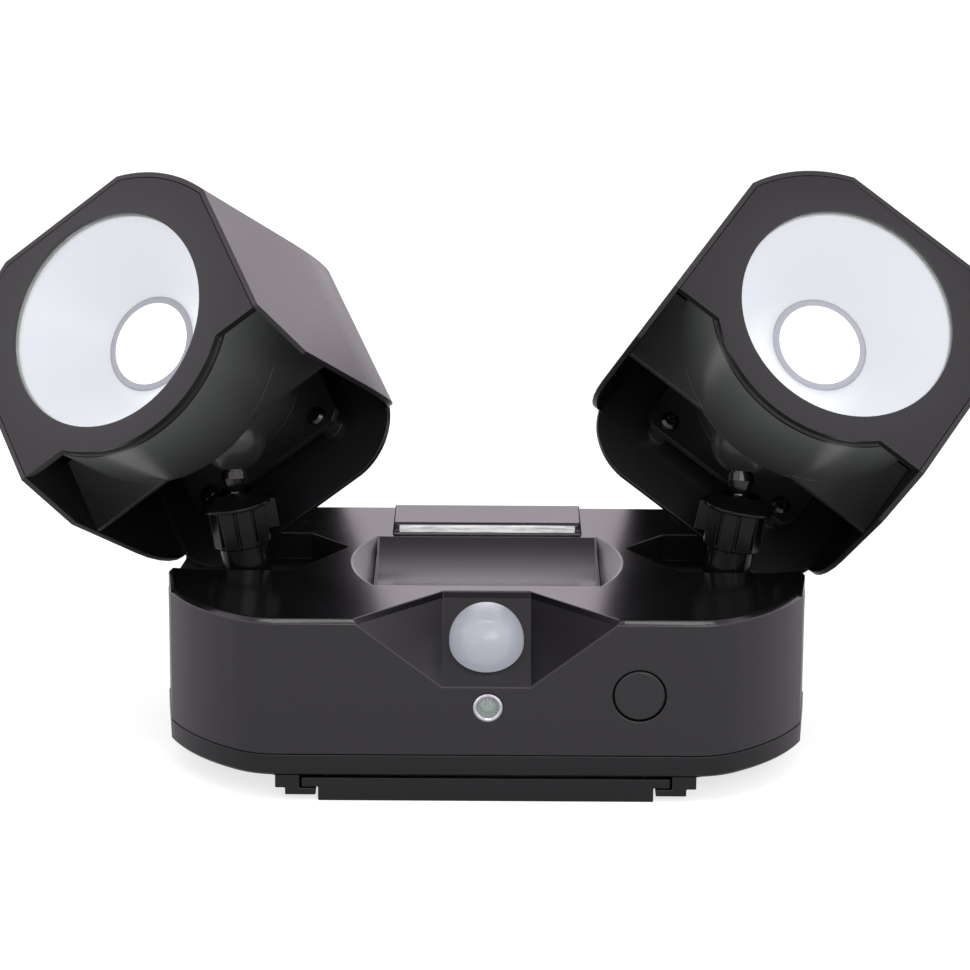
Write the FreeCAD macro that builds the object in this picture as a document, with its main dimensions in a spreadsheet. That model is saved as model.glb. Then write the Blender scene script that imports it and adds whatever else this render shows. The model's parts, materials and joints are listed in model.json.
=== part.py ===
import FreeCAD, Part
import math
import os
import Sketcher
from FreeCAD import Placement, Rotation, Vector

# Twin-head motion sensor security light standing on its mount face.
# +Z up, -Y toward the sensor side, origin at the centre of the mount face.
# Every driving size is a cell of the spreadsheet "Sizes", in millimetres or degrees.
SIZES = (
    # base plan
    ("base_front_x", 60.0, "half length of the straight front edge"),
    ("base_y", 59.25, "half depth of the base"),
    ("base_crease_x", 74.9, "where the corner arc ends"),
    ("base_crease_in", 5.1, "how far the crease lies behind the front"),
    ("base_corner_x", 94.1, "half width at the end corner"),
    ("base_corner_in", 29.95, "how far the end corner lies behind the front"),
    ("base_mid_x", 97.2, "half width at the middle of the end"),
    ("corner_r", 22.0, "radius of the corner arc"),
    ("end_r", 59.0, "radius of the arc up to the end corner"),
    # base heights
    ("rail_z", 1.75, "underside of the rails"),
    ("cover_z", 8.0, "underside of the back cover"),
    ("seam_z", 14.5, "seam between cover and housing"),
    ("top_z", 56.0, "top face of the housing"),
    ("bevel", 1.4, "bevel along the top edge"),
    ("wall", 2.2, "wall of the housing"),
    ("cover_lip", 0.3, "how far the cover stands proud"),
    ("cover_floor", 2.0, "floor of the cover"),
    # arm wells
    ("well_tip_x", 42.6, "inner tip of the arm well"),
    ("well_tip_y", 14.4, "depth position of the tip"),
    ("well_shoulder_x", 54.6, "rear shoulder of the well"),
    ("well_back_y", 28.5, "rear edge of the well"),
    ("well_front_x", 58.6, "front shoulder of the well"),
    ("well_front_y", -10.8, "front edge of the well"),
    ("well_side_x", 86.0, "where the front edge turns"),
    ("well_side_y", -6.5, "front edge of the well at the end"),
    ("well_deep", 8.5, "depth of the well"),
    ("well_floor", 2.0, "floor below the well"),
    # trough on top
    ("trough_x", 34.1, "half length of the trough floor"),
    ("trough_end_x", 41.2, "half length with the rounded ends"),
    ("trough_y", 25.25, "half width of the trough"),
    ("trough_deep", 7.6, "depth of the trough"),
    ("trough_end_deep", 3.4, "depth of the sloped ends"),
    # sensor notch
    ("notch_tip_x", 39.8, "half width of the notch at the front edge"),
    ("notch_x", 12.9, "half width of the sensor panel"),
    ("notch_in", 28.5, "how far the notch reaches back"),
    ("notch_z", 35.5, "lower end of the sensor panel"),
    ("dome_r", 10.95, "radius of the sensor dome"),
    ("dome_share", 0.467, "place of the dome along the panel, as a share"),
    ("dome_rise", 1.4, "height of its cylindrical foot"),
    ("dome_wall", 1.0, "wall of the sensor dome"),
    # light bar on top
    ("bar_x", 29.2, "half length of the bar"),
    ("bar_y", 27.4, "front of the bar"),
    ("bar_deep", 22.0, "depth of the bar"),
    ("bar_rise", 3.4, "height of the bar"),
    ("strip_x", 27.4, "half length of its window"),
    ("strip_z", 0.75, "height of the window above the top"),
    ("strip_tall", 1.9, "height of the window"),
    # front face parts
    ("eye_x", 0.5, "sideways position of the photocell"),
    ("eye_z", 29.3, "height of the photocell"),
    ("eye_r", 4.35, "outer radius of its ring"),
    ("eye_glass_r", 3.2, "radius of its window"),
    ("button_x", 44.7, "sideways position of the button"),
    ("button_z", 33.1, "height of the button"),
    ("button_r", 7.6, "radius of the button"),
    ("play", 0.3, "gap around moving parts"),
    # screws and inner parts
    ("boss_x", 71.0, "sideways position of the cover screws"),
    ("boss_y", 46.0, "depth position of the cover screws"),
    ("boss_r", 3.8, "radius of the screw bosses"),
    ("screw_r", 1.5, "radius of the screw shanks"),
    ("screw_head_r", 2.85, "radius of the screw heads"),
    ("cell_r", 17.1, "radius of a D cell"),
    ("cell_long", 61.5, "length of a D cell"),
    ("cell_y", 17.9, "half distance of the two cell rows"),
    ("cell_z", 27.3, "height of the cell axes"),
    ("board_thick", 1.6, "thickness of the circuit boards"),
    ("board_gap", 11.6, "main board behind the front face"),
    ("board_x", 61.0, "half length of the main board"),
    ("board_step_x", 28.0, "where the main board gets taller"),
    ("board_post_z", 22.6, "height of the posts that hold the main board"),
    # bracket
    ("plate_x", 49.2, "half width of the bracket plate"),
    ("plate_y", 58.5, "half length of the bracket plate"),
    ("plate_thick", 2.0, "thickness of the bracket plate"),
    ("rail_step", 2.15, "height of the step in the rails"),
    ("bracket_gap", 0.9, "bracket below the back cover"),
    ("hook_x", 54.0, "outer edge of the bracket hooks"),
    ("rail_in_x", 49.9, "inner edge of the rail lips"),
    ("rail_mid_x", 58.9, "outer edge of the rail lips"),
    ("rail_out_x", 61.8, "outer edge of the rails"),
    ("hole_x", 32.0, "half spacing of the bracket holes across"),
    ("hole_y", 30.0, "half spacing of the bracket holes along"),
    ("hole_r", 2.6, "radius of the bracket holes"),
    ("slot_y", 26.0, "middle of the levelling slot behind the centre"),
    # arms
    ("arm_x", 75.9, "sideways position of the ball centres"),
    ("arm_y", -2.1, "depth position of the ball centres"),
    ("arm_z", 73.05, "height of the ball centres"),
    ("arm_lean", 9.0, "outward lean of the arms"),
    ("ball_r", 5.0, "radius of the balls"),
    ("seat_r", 6.2, "outer radius of the seat cups"),
    ("post_r", 7.2, "radius of the posts"),
    ("foot_r", 8.6, "radius of the post feet"),
    ("tail_r", 5.8, "radius of the threaded post tails"),
    ("collar_r", 8.9, "radius over the collar ribs"),
    ("rim_r", 10.7, "radius of the collar rim"),
    ("collar_low", -11.4, "lower end of the collar"),
    ("mouth_r", 5.8, "radius of the collar mouth"),
    ("wing_r", 12.1, "reach of the collar wing"),
    ("neck_r", 4.1, "radius of the stem neck"),
    ("spigot_r", 3.4, "radius of the stem spigot"),
    # heads, in their own frame: x across, y up, z out of the lens
    ("head_x", 45.4, "half width of the hood"),
    ("head_top", 39.1, "top edge above the lens centre"),
    ("head_chamfer", 23.2, "size of the arched corners"),
    ("head_arch_r", 45.0, "radius of the arched corners"),
    ("hood_wall", 1.6, "wall of the hood"),
    ("side_low", -38.3, "lower edge of the hood sides"),
    ("shoulder_y", -28.2, "height of the bezel shoulders"),
    ("notch_edge_x", 29.5, "inner end of the shoulders"),
    ("bezel_r", 41.0, "radius of the lower bezel edge"),
    ("slant_z", -19.8, "where the slanted side edge ends"),
    ("hood_straight", 54.0, "length of the straight part of the hood"),
    ("hood_deep", 77.5, "full depth of the hood"),
    ("back_x", 41.0, "half width of the hood back"),
    ("back_top", 36.6, "top of the hood back"),
    ("back_low", -48.3, "lower edge of the hood back"),
    ("back_low_x", 23.0, "half width of that lower edge"),
    ("back_side_y", -33.5, "where its lower corners start"),
    ("back_corner_r", 20.0, "radius of these corners"),
    ("lens_open_r", 33.0, "radius of the lens opening"),
    ("lens_r", 35.0, "radius of the lens"),
    ("bezel_thick", 1.2, "thickness of the bezel in front of the lens"),
    ("lens_thick", 1.6, "thickness of the lens"),
    ("seal_thick", 0.8, "thickness of the lens seal"),
    ("seal_wide", 2.0, "width of the lens seal"),
    ("bowl_r", 41.4, "radius of the lamp bowl"),
    ("bowl_curve_r", 6.0, "radius of its rear edge"),
    ("bowl_turn", -31.0, "where the bowl starts to close"),
    ("bowl_back_r", 38.4, "radius where its rear edge ends"),
    ("bowl_back_z", -36.2, "depth where its rear edge ends"),
    ("bowl_tube_r", 25.0, "radius of the tube that carries the flange"),
    ("bowl_tube_z", -43.9, "front end of that tube"),
    ("flange_z", -68.3, "front of the rear flange"),
    ("flange_thick", 2.4, "thickness of the rear flange"),
    ("flange_x", 28.0, "half width of the rear flange"),
    ("flange_low", -32.0, "lower edge of the rear flange"),
    ("ear_x", 21.3, "sideways position of the flange screws"),
    ("ear_y", -27.5, "height of the flange screws"),
    ("ledge_z", -31.4, "position of the gusset ledge"),
    ("ledge_y", -38.1, "lower edge of the gusset ledge"),
    ("led_z", -24.6, "face of the light source"),
    ("led_r", 12.1, "radius of the light source"),
    ("ring_r", 14.8, "outer radius of its holder ring"),
    ("knuckle_y", -26.5, "height of the stem knuckle"),
    ("knuckle_z", -52.0, "depth of the stem knuckle"),
    ("knuckle_r", 10.0, "radius of the stem knuckle"),
    ("ball_out", 11.1, "outward offset of the ball in the head frame"),
    ("ball_down", -42.93, "height of the ball in the head frame"),
    ("ball_back", -58.8, "depth of the ball in the head frame"),
    ("yaw_left", 33.87, "turn of the left head"),
    ("pitch_left", 28.74, "upward tilt of the left head"),
    ("roll_left", 44.7, "roll of the left head"),
    ("yaw_right", -19.23, "turn of the right head"),
    ("pitch_right", 36.31, "upward tilt of the right head"),
    ("roll_right", -45.67, "roll of the right head"),
)


class Size:
    """A value together with the spreadsheet expression that drives it."""

    def __init__(self, value, text):
        self.value = float(value)
        self.text = text

    def _join(self, other, sign, value):
        return Size(value, "(" + self.text + sign + other.text + ")")

    def __add__(self, other):
        other = as_size(other)
        return self._join(other, " + ", self.value + other.value)

    def __sub__(self, other):
        other = as_size(other)
        return self._join(other, " - ", self.value - other.value)

    def __mul__(self, other):
        other = as_size(other)
        return self._join(other, " * ", self.value * other.value)

    def __truediv__(self, other):
        other = as_size(other)
        return self._join(other, " / ", self.value / other.value)

    def __radd__(self, other):
        return as_size(other) + self

    def __rsub__(self, other):
        return as_size(other) - self

    def __rmul__(self, other):
        return as_size(other) * self

    def __neg__(self):
        return as_size(0.0) - self


def as_size(number):
    if isinstance(number, Size):
        return number
    return Size(number, repr(float(number)))


def root(size):
    return Size(math.sqrt(max(size.value, 0.0)), "sqrt(" + size.text + ")")


doc = FreeCAD.newDocument("security_light")
sheet = doc.addObject("Spreadsheet::Sheet", "Sizes")
dims = {}
for row, (word, number, note) in enumerate(SIZES, start=1):
    sheet.set("A" + str(row), word)
    sheet.set("B" + str(row), str(number))
    sheet.set("C" + str(row), note)
    sheet.setAlias("B" + str(row), word)
    dims[word] = Size(number, "Sizes." + word)
doc.recompute()


class Named:
    """Gives the sizes as attributes."""

    def __getattr__(self, word):
        return dims[word]


d = Named()
nodes = []
# flat strips that make the rounded rear edge of the hood
HOOD_STEPS = 6


def bind(obj, path, size):
    """Drive one property of an object with a size."""
    obj.setExpression(path, as_size(size).text)


def new_body(name):
    body = doc.addObject("PartDesign::Body", name)
    body.Label = name
    return body


def plane_of(body, role):
    for feature in body.Origin.OriginFeatures:
        if feature.Role == role:
            return feature
    raise ValueError("no plane " + role)


def arc_centre(start, end, radius, side):
    """Centre of the arc that bulges to the right (side 1) or left (side -1) of start to end."""
    half = (end - start) * 0.5
    reach = half.Length
    radius = max(radius, reach * 1.0001)
    off = math.sqrt(radius * radius - reach * reach)
    normal = Vector(half.y, -half.x, 0) * (1.0 / reach)
    return start + half - normal * (off * side), radius


def draw(sketch, corners):
    """Closed profile. A corner is (x, y) or (x, y, radius, side) for an arc to the next one."""
    points = []
    for corner in corners:
        x, y = as_size(corner[0]), as_size(corner[1])
        points.append((x, y, corner[2:] if len(corner) > 2 else None))
    count = len(points)
    first = sketch.GeometryCount
    for index in range(count):
        x, y, arc = points[index]
        next_x, next_y, unused = points[(index + 1) % count]
        start = Vector(x.value, y.value, 0)
        end = Vector(next_x.value, next_y.value, 0)
        if arc is None:
            sketch.addGeometry(Part.LineSegment(start, end), False)
            continue
        radius, side = as_size(arc[0]), arc[1]
        centre, length = arc_centre(start, end, radius.value, side)
        # the arc always runs counterclockwise, so swap its ends where needed
        low, high = (start, end) if side > 0 else (end, start)
        angle_low = math.atan2(low.y - centre.y, low.x - centre.x)
        angle_high = math.atan2(high.y - centre.y, high.x - centre.x)
        if angle_high < angle_low:
            angle_high += 2 * math.pi
        circle = Part.Circle(centre, Vector(0, 0, 1), length)
        sketch.addGeometry(Part.ArcOfCircle(circle, angle_low, angle_high), False)
    for index in range(count):
        x, y, arc = points[index]
        start_of = 1
        if arc is not None and arc[1] < 0:
            start_of = 2
        here = first + index
        before = first + (index - 1) % count
        arc_before = points[(index - 1) % count][2]
        end_of = 2
        if arc_before is not None and arc_before[1] < 0:
            end_of = 1
        sketch.addConstraint(Sketcher.Constraint("Coincident", before, end_of, here, start_of))
        for kind, size in (("DistanceX", x), ("DistanceY", y)):
            number = sketch.addConstraint(
                Sketcher.Constraint(kind, -1, 1, here, start_of, size.value))
            if "Sizes." in size.text:
                sketch.setExpression("Constraints[" + str(number) + "]", size.text)
        if arc is not None:
            radius = as_size(arc[0])
            number = sketch.addConstraint(
                Sketcher.Constraint("Radius", here, max(radius.value, 0.01)))
            if "Sizes." in radius.text:
                sketch.setExpression("Constraints[" + str(number) + "]", radius.text)


def draw_circle(sketch, x, y, radius):
    x, y, radius = as_size(x), as_size(y), as_size(radius)
    centre = Vector(x.value, y.value, 0)
    number = sketch.addGeometry(Part.Circle(centre, Vector(0, 0, 1), radius.value), False)
    rules = (("DistanceX", (-1, 1, number, 3), x), ("DistanceY", (-1, 1, number, 3), y),
             ("Radius", (number,), radius))
    for kind, spots, size in rules:
        rule = sketch.addConstraint(Sketcher.Constraint(kind, *spots, size.value))
        if "Sizes." in size.text:
            sketch.setExpression("Constraints[" + str(rule) + "]", size.text)


def new_sketch(body, role, offset, shapes):
    """Sketch on a plane of the body. A shape is a list of corners or a circle (x, y, r)."""
    sketch = body.newObject("Sketcher::SketchObject", body.Name + "_sketch")
    sketch.AttachmentSupport = (plane_of(body, role), [""])
    sketch.MapMode = "FlatFace"
    offset = as_size(offset)
    sketch.AttachmentOffset = Placement(Vector(0, 0, offset.value), Rotation())
    if "Sizes." in offset.text:
        bind(sketch, "AttachmentOffset.Base.z", offset)
    for shape in shapes:
        if isinstance(shape, tuple):
            draw_circle(sketch, *shape)
        else:
            draw(sketch, shape)
    return sketch


def extrude(body, kind, role, offset, shapes, length, back=False):
    """Pad or pocket of a sketch; back turns its direction round."""
    sketch = new_sketch(body, role, offset, shapes)
    feature = body.newObject("PartDesign::" + kind, body.Name + "_" + kind.lower())
    feature.Profile = sketch
    feature.Length = as_size(length).value
    if "Sizes." in as_size(length).text:
        bind(feature, "Length", length)
    feature.Reversed = back
    doc.recompute()
    return feature


def pad(body, role, offset, shapes, length, back=False):
    return extrude(body, "Pad", role, offset, shapes, length, back)


def pocket(body, role, offset, shapes, length, back=False):
    return extrude(body, "Pocket", role, offset, shapes, length, back)


def spin(body, kind, shape, role="XZ_Plane"):
    """Revolution or groove of a profile (radius, height) about the body's Z axis."""
    sketch = new_sketch(body, role, 0, [shape])
    feature = body.newObject("PartDesign::" + kind, body.Name + "_" + kind.lower())
    feature.Profile = sketch
    feature.ReferenceAxis = (sketch, ["V_Axis"])
    feature.Angle = 360.0
    doc.recompute()
    return feature


def cut_loft(body, kind, role, sections):
    """Additive or subtractive loft through (offset, corners) sections."""
    sketches = [new_sketch(body, role, offset, [shape]) for offset, shape in sections]
    feature = body.newObject("PartDesign::" + kind, body.Name + "_loft")
    feature.Profile = sketches[0]
    feature.Sections = sketches[1:]
    feature.Ruled = True
    doc.recompute()
    return feature


def edges_where(feature, test):
    names = []
    for number, edge in enumerate(feature.Shape.Edges, start=1):
        if test(edge):
            names.append("Edge" + str(number))
    return names


def dress(body, kind, size, test):
    """Chamfer or fillet of the edges of the tip that pass the test."""
    tip = body.Tip
    feature = body.newObject("PartDesign::" + kind, body.Name + "_" + kind.lower())
    feature.Base = (tip, edges_where(tip, test))
    path = "Size" if kind == "Chamfer" else "Radius"
    setattr(feature, path, as_size(size).value)
    if "Sizes." in as_size(size).text:
        bind(feature, path, size)
    doc.recompute()
    return feature


def keep(obj, name, placement=None):
    """Mark an object as a finished sub-part."""
    obj.Label = name
    if placement is not None:
        obj.Placement = placement
    nodes.append((name, obj))
    return obj


def box(name, x, y, z, low, placement=None):
    """Box with sizes x, y, z and its lowest corner at low."""
    obj = doc.addObject("Part::Box", name)
    for path, size in zip(("Length", "Width", "Height"), (x, y, z)):
        setattr(obj, path, as_size(size).value)
        if "Sizes." in as_size(size).text:
            bind(obj, path, size)
    shift_to(obj, low, placement)
    return obj


def rod(name, radius, length, foot, placement=None):
    """Cylinder along z that stands at foot."""
    obj = doc.addObject("Part::Cylinder", name)
    for path, size in zip(("Radius", "Height"), (radius, length)):
        setattr(obj, path, as_size(size).value)
        if "Sizes." in as_size(size).text:
            bind(obj, path, size)
    shift_to(obj, foot, placement)
    return obj


def shift_to(obj, low, placement=None):
    """Place an object at low; without a frame its position stays bound to the sizes."""
    sizes = [as_size(part) for part in low]
    base = Vector(*[part.value for part in sizes])
    if placement is not None:
        obj.Placement = placement.multiply(Placement(base, Rotation()))
        return
    obj.Placement = Placement(base, Rotation())
    for axis, size in zip("xyz", sizes):
        if "Sizes." in size.text:
            bind(obj, "Placement.Base." + axis, size)


def join(kind, name, *parts):
    """Part boolean: Cut or MultiFuse or MultiCommon."""
    obj = doc.addObject("Part::" + kind, name)
    if kind == "Cut":
        obj.Base, obj.Tool = parts
    else:
        obj.Shapes = list(parts)
    doc.recompute()
    return obj


def mirrored(corners):
    """Close a right-hand half profile with its mirror image about the vertical axis."""
    count = len(corners)
    result = list(corners)
    for index in range(count - 1, -1, -1):
        x, y = corners[index][0], corners[index][1]
        before = corners[index - 1] if index > 0 else None
        if before is not None and len(before) > 2:
            result.append((-as_size(x), y, before[2], before[3]))
        else:
            result.append((-as_size(x), y))
    return result


# Base
def outline(inset):
    """Plan of the base, moved inward by inset."""
    back = d.base_y - inset
    half = [
        (d.base_front_x - inset * 0.2, -back, d.corner_r - inset, 1),
        (d.base_crease_x - inset * 0.669, d.base_crease_in - d.base_y + inset * 0.743,
         d.end_r - inset, 1),
        (d.base_corner_x - inset * 0.96, d.base_corner_in - d.base_y + inset * 0.27),
        (d.base_mid_x - inset, 0),
        (d.base_corner_x - inset * 0.96, d.base_y - d.base_corner_in - inset * 0.27,
         d.end_r - inset, 1),
        (d.base_crease_x - inset * 0.669, d.base_y - d.base_crease_in - inset * 0.743,
         d.corner_r - inset, 1),
        (d.base_front_x - inset * 0.2, back),
    ]
    return mirrored(half)


def well_profile(side, grow, reach):
    """Plan of an arm well: grow widens it, reach is its outer end."""
    points = [
        (d.well_tip_x - grow * 1.3, d.well_tip_y),
        (d.well_front_x - grow * 0.8, d.well_front_y - grow),
        (d.well_side_x, d.well_front_y - grow),
        (reach, d.well_side_y - grow),
        (reach, d.well_back_y + grow),
        (d.well_shoulder_x - grow * 0.6, d.well_back_y + grow),
    ]
    corners = [(x * side, y) for x, y in points]
    return corners if side > 0 else corners[::-1]


panel_rise = d.top_z - d.notch_z
panel_angle = math.degrees(math.atan2(panel_rise.value, d.notch_in.value))
dome_y = -d.base_y + d.notch_in * d.dome_share
dome_z = d.notch_z + panel_rise * d.dome_share
panel_frame = Placement(Vector(0, dome_y.value, dome_z.value),
                        Rotation(Vector(1, 0, 0), panel_angle))


def build_housing():
    body = new_body("housing_shell")
    pad(body, "XY_Plane", d.seam_z, [outline(as_size(0))], d.top_z - d.seam_z)
    top = d.top_z.value
    dress(body, "Chamfer", d.bevel,
          lambda edge: abs(edge.BoundBox.ZMin - top) < 1e-4 and abs(edge.BoundBox.ZMax - top) < 1e-4)
    pocket(body, "XY_Plane", d.seam_z, [outline(d.wall)], d.top_z - d.seam_z - d.wall, back=True)
    under = d.top_z - d.well_deep - d.well_floor
    for side in (1, -1):
        shape = well_profile(side, as_size(2.0), d.base_corner_x)
        pad(body, "XY_Plane", under, [shape], d.well_deep + d.well_floor - d.wall * 0.5)
    block = mirrored([(d.trough_end_x + 1.2, -d.trough_y - 2.0), (d.trough_end_x + 1.2, d.trough_y + 2.0)])
    pad(body, "XY_Plane", d.top_z - d.trough_deep - 2.0, [block],
        d.trough_deep + 2.0 - d.wall * 0.5)
    # wall behind the sensor notch
    front = [(d.notch_x + 2.2, d.notch_z - 2.6), (d.notch_tip_x + 2.4, d.top_z - 1.2)]
    rear = [(d.notch_x + 2.2, d.top_z - 2.6), (d.notch_x + 2.3, d.top_z - 1.2)]
    cut_loft(body, "AdditiveLoft", "XZ_Plane",
             [(d.base_y - 1.0, mirrored(front)), (d.base_y - d.notch_in - 2.4, mirrored(rear))])
    # light bar
    bar = mirrored([(d.bar_x, d.bar_y), (d.bar_x, d.bar_y + d.bar_deep)])
    pad(body, "XY_Plane", d.top_z - 1.0, [bar], d.bar_rise + 1.0)
    crown = (d.top_z + d.bar_rise).value
    dress(body, "Fillet", as_size(0.6),
          lambda edge: abs(edge.BoundBox.ZMin - crown) < 1e-4 and abs(edge.BoundBox.ZMax - crown) < 1e-4)
    # screw bosses
    spots = [(d.boss_x * sx, d.boss_y * sy, d.boss_r) for sx in (1, -1) for sy in (1, -1)]
    pad(body, "XY_Plane", d.seam_z + 0.4, spots, d.top_z - d.seam_z - 1.6)
    # cuts
    for side in (1, -1):
        shape = well_profile(side, as_size(0.0), d.base_mid_x + 6.0)
        pocket(body, "XY_Plane", d.top_z, [shape], d.well_deep)
    round_end = d.trough_end_x - d.trough_x
    rim_r = (d.trough_y * d.trough_y + round_end * round_end) / (round_end * 2.0)
    rim = mirrored([(d.trough_x, -d.trough_y, rim_r, 1), (d.trough_x, d.trough_y)])
    # the floor section lies inside the lying cylinder that makes the middle
    floor = mirrored([(d.trough_x, -d.trough_y * 0.7, d.trough_y * 30.0, 1),
                      (d.trough_x, d.trough_y * 0.7)])
    cut_loft(body, "SubtractiveLoft", "XY_Plane",
             [(d.top_z + 0.01, rim), (d.top_z - d.trough_end_deep, floor)])
    slope_x = (d.notch_tip_x - d.notch_x) / d.notch_in
    slope_z = panel_rise / d.notch_in
    out_front = [(d.notch_x, d.notch_z - slope_z), (d.notch_tip_x + slope_x * 1.0, d.top_z),
                 (d.notch_tip_x + slope_x * 1.0, d.top_z + 0.5)]
    out_rear = [(d.notch_x, d.top_z - slope_z * 0.2), (d.notch_x + slope_x * 0.2, d.top_z),
                (d.notch_x + slope_x * 0.2, d.top_z + 0.5)]
    cut_loft(body, "SubtractiveLoft", "XZ_Plane",
             [(d.base_y + 1.0, mirrored(out_front)),
              (d.base_y - d.notch_in + 0.2, mirrored(out_rear))])
    return body


def trough_tool():
    """Lying cylinder that cuts the curved trough floor."""
    sagitta = d.trough_deep
    radius = (d.trough_y * d.trough_y + sagitta * sagitta) / (sagitta * 2.0)
    obj = doc.addObject("Part::Cylinder", "trough_tool")
    bind(obj, "Radius", radius)
    bind(obj, "Height", d.trough_x * 2.0)
    height = d.top_z - sagitta + radius
    obj.Placement = Placement(Vector(-d.trough_x.value, 0, height.value),
                              Rotation(Vector(0, 1, 0), 90))
    bind(obj, "Placement.Base.x", -d.trough_x)
    bind(obj, "Placement.Base.z", height)
    return obj


def arm_foot_x():
    """Where the arm axis meets the well floor."""
    drop = d.arm_z.value - (d.top_z.value - d.well_deep.value)
    return d.arm_x.value - drop * math.tan(math.radians(d.arm_lean.value))


def front_frame(x, z):
    """Frame on the front face: its z axis points out of the base."""
    return Placement(Vector(as_size(x).value, -d.base_y.value, as_size(z).value),
                     Rotation(Vector(1, 0, 0), 90))


def finish_housing():
    shell = build_housing()
    tools = [trough_tool()]
    tools.append(rod("dome_hole", d.dome_r - 2.2, 12.0, (0, 0, -6.0), panel_frame))
    eye = front_frame(d.eye_x, d.eye_z)
    tools.append(rod("eye_hole", d.eye_glass_r - 0.4, 8.0, (0, 0, -5.0), eye))
    tools.append(rod("eye_seat", d.eye_r, 2.0, (0, 0, -0.9), eye))
    knob = front_frame(d.button_x, d.button_z)
    tools.append(rod("button_hole", d.button_r + d.play, 8.0, (0, 0, -5.0), knob))
    for side, name in ((-1, "left"), (1, "right")):
        foot = Vector(side * arm_foot_x(), d.arm_y.value, 0)
        tools.append(rod("post_hole_" + name, d.tail_r + 0.2, 20.0, (0, 0, 36.0),
                         Placement(foot, Rotation())))
    window = box("bar_window", d.strip_x * 2.0, 6.0, d.strip_tall,
                 (-d.strip_x, d.bar_y - 1.0, d.top_z + d.strip_z))
    hollow = box("bar_hollow", d.strip_x * 2.0, d.bar_deep - 6.0, d.bar_rise + d.wall + 0.3,
                 (-d.strip_x, d.bar_y + 3.6, d.top_z - d.wall - 1.2))
    tools += [window, hollow]
    for sx in (1, -1):
        for sy in (1, -1):
            tools.append(rod("boss_hole", d.screw_r, 16.0, (d.boss_x * sx, d.boss_y * sy, d.seam_z - 1.0)))
    cutter = join("MultiFuse", "housing_tools", *tools)
    hollow_shell = join("Cut", "housing_cut", shell, cutter)
    # posts that carry the circuit boards
    posts = [rod("sensor_post", 1.3, 6.6, (10.2 * sx, 0, -8.0), panel_frame) for sx in (1, -1)]
    deep = d.board_gap - d.wall + 0.5
    for x in (-d.button_x, d.board_step_x):
        spot = front_frame(x, d.board_post_z)
        posts.append(rod("board_post", 2.6, deep, (0, 0, -d.board_gap), spot))
    keep(join("MultiFuse", "base_housing", hollow_shell, *posts), "base_housing")


def build_cover():
    body = new_body("back_cover")
    lip = -d.cover_lip
    pad(body, "XY_Plane", d.cover_z, [outline(lip)], d.seam_z - d.cover_z)
    low = d.cover_z.value
    dress(body, "Chamfer", as_size(0.9),
          lambda edge: abs(edge.BoundBox.ZMin - low) < 1e-4 and abs(edge.BoundBox.ZMax - low) < 1e-4)
    pocket(body, "XY_Plane", d.seam_z, [outline(d.wall)], d.seam_z - d.cover_z - d.cover_floor)
    spots = [(d.boss_x * sx, d.boss_y * sy, d.boss_r + 0.6) for sx in (1, -1) for sy in (1, -1)]
    pad(body, "XY_Plane", d.cover_z + 1.0, spots, d.seam_z - d.cover_z - 1.0)
    for side in (1, -1):
        shape = [
            (d.rail_in_x, d.rail_z), (d.rail_mid_x, d.rail_z), (d.rail_mid_x, d.rail_z + d.rail_step),
            (d.rail_out_x, d.rail_z + d.rail_step), (d.rail_out_x, d.cover_z + 0.5),
            (d.hook_x + 0.6, d.cover_z + 0.5), (d.hook_x + 0.6, d.rail_z + 2.1),
            (d.rail_in_x, d.rail_z + 2.1)]
        corners = [(x * side, y) for x, y in shape]
        if side < 0:
            corners = corners[::-1]
        pad(body, "XZ_Plane", -d.plate_y, [corners], d.plate_y * 2.0)
    pocket(body, "XY_Plane", d.cover_z,
           [(d.boss_x * sx, d.boss_y * sy, d.screw_head_r + 0.2) for sx in (1, -1) for sy in (1, -1)],
           2.4, back=True)
    pocket(body, "XY_Plane", d.cover_z,
           [(d.boss_x * sx, d.boss_y * sy, d.screw_r + 0.15) for sx in (1, -1) for sy in (1, -1)],
           12.0, back=True)
    pocket(body, "XY_Plane", d.seam_z, [outline(as_size(0.6)), outline(as_size(1.6))], 1.0)
    keep(body, "back_cover")
    seal = new_body("cover_seal")
    pad(seal, "XY_Plane", d.seam_z - 1.0, [outline(as_size(0.65)), outline(as_size(1.55))], 1.0)
    keep(seal, "cover_seal")


def build_cover_screws():
    number = 0
    for sx in (-1, 1):
        for sy in (-1, 1):
            number += 1
            body = new_body("cover_screw_" + str(number))
            spin(body, "Revolution", [
                (0, 0), (d.screw_head_r, 0), (d.screw_head_r, 1.6), (d.screw_r, 2.3),
                (d.screw_r, 16.0), (0, 17.2)])
            slots = [[(-1.6, -0.3), (1.6, -0.3), (1.6, 0.3), (-1.6, 0.3)],
                     [(-0.3, -1.6), (0.3, -1.6), (0.3, 1.6), (-0.3, 1.6)]]
            for slot in slots:
                pocket(body, "XY_Plane", 0, [slot], 0.9, back=True)
            keep(body, "cover_screw_" + str(number),
                 Placement(Vector(sx * d.boss_x.value, sy * d.boss_y.value, d.cover_z.value + 0.1),
                           Rotation()))


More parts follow.
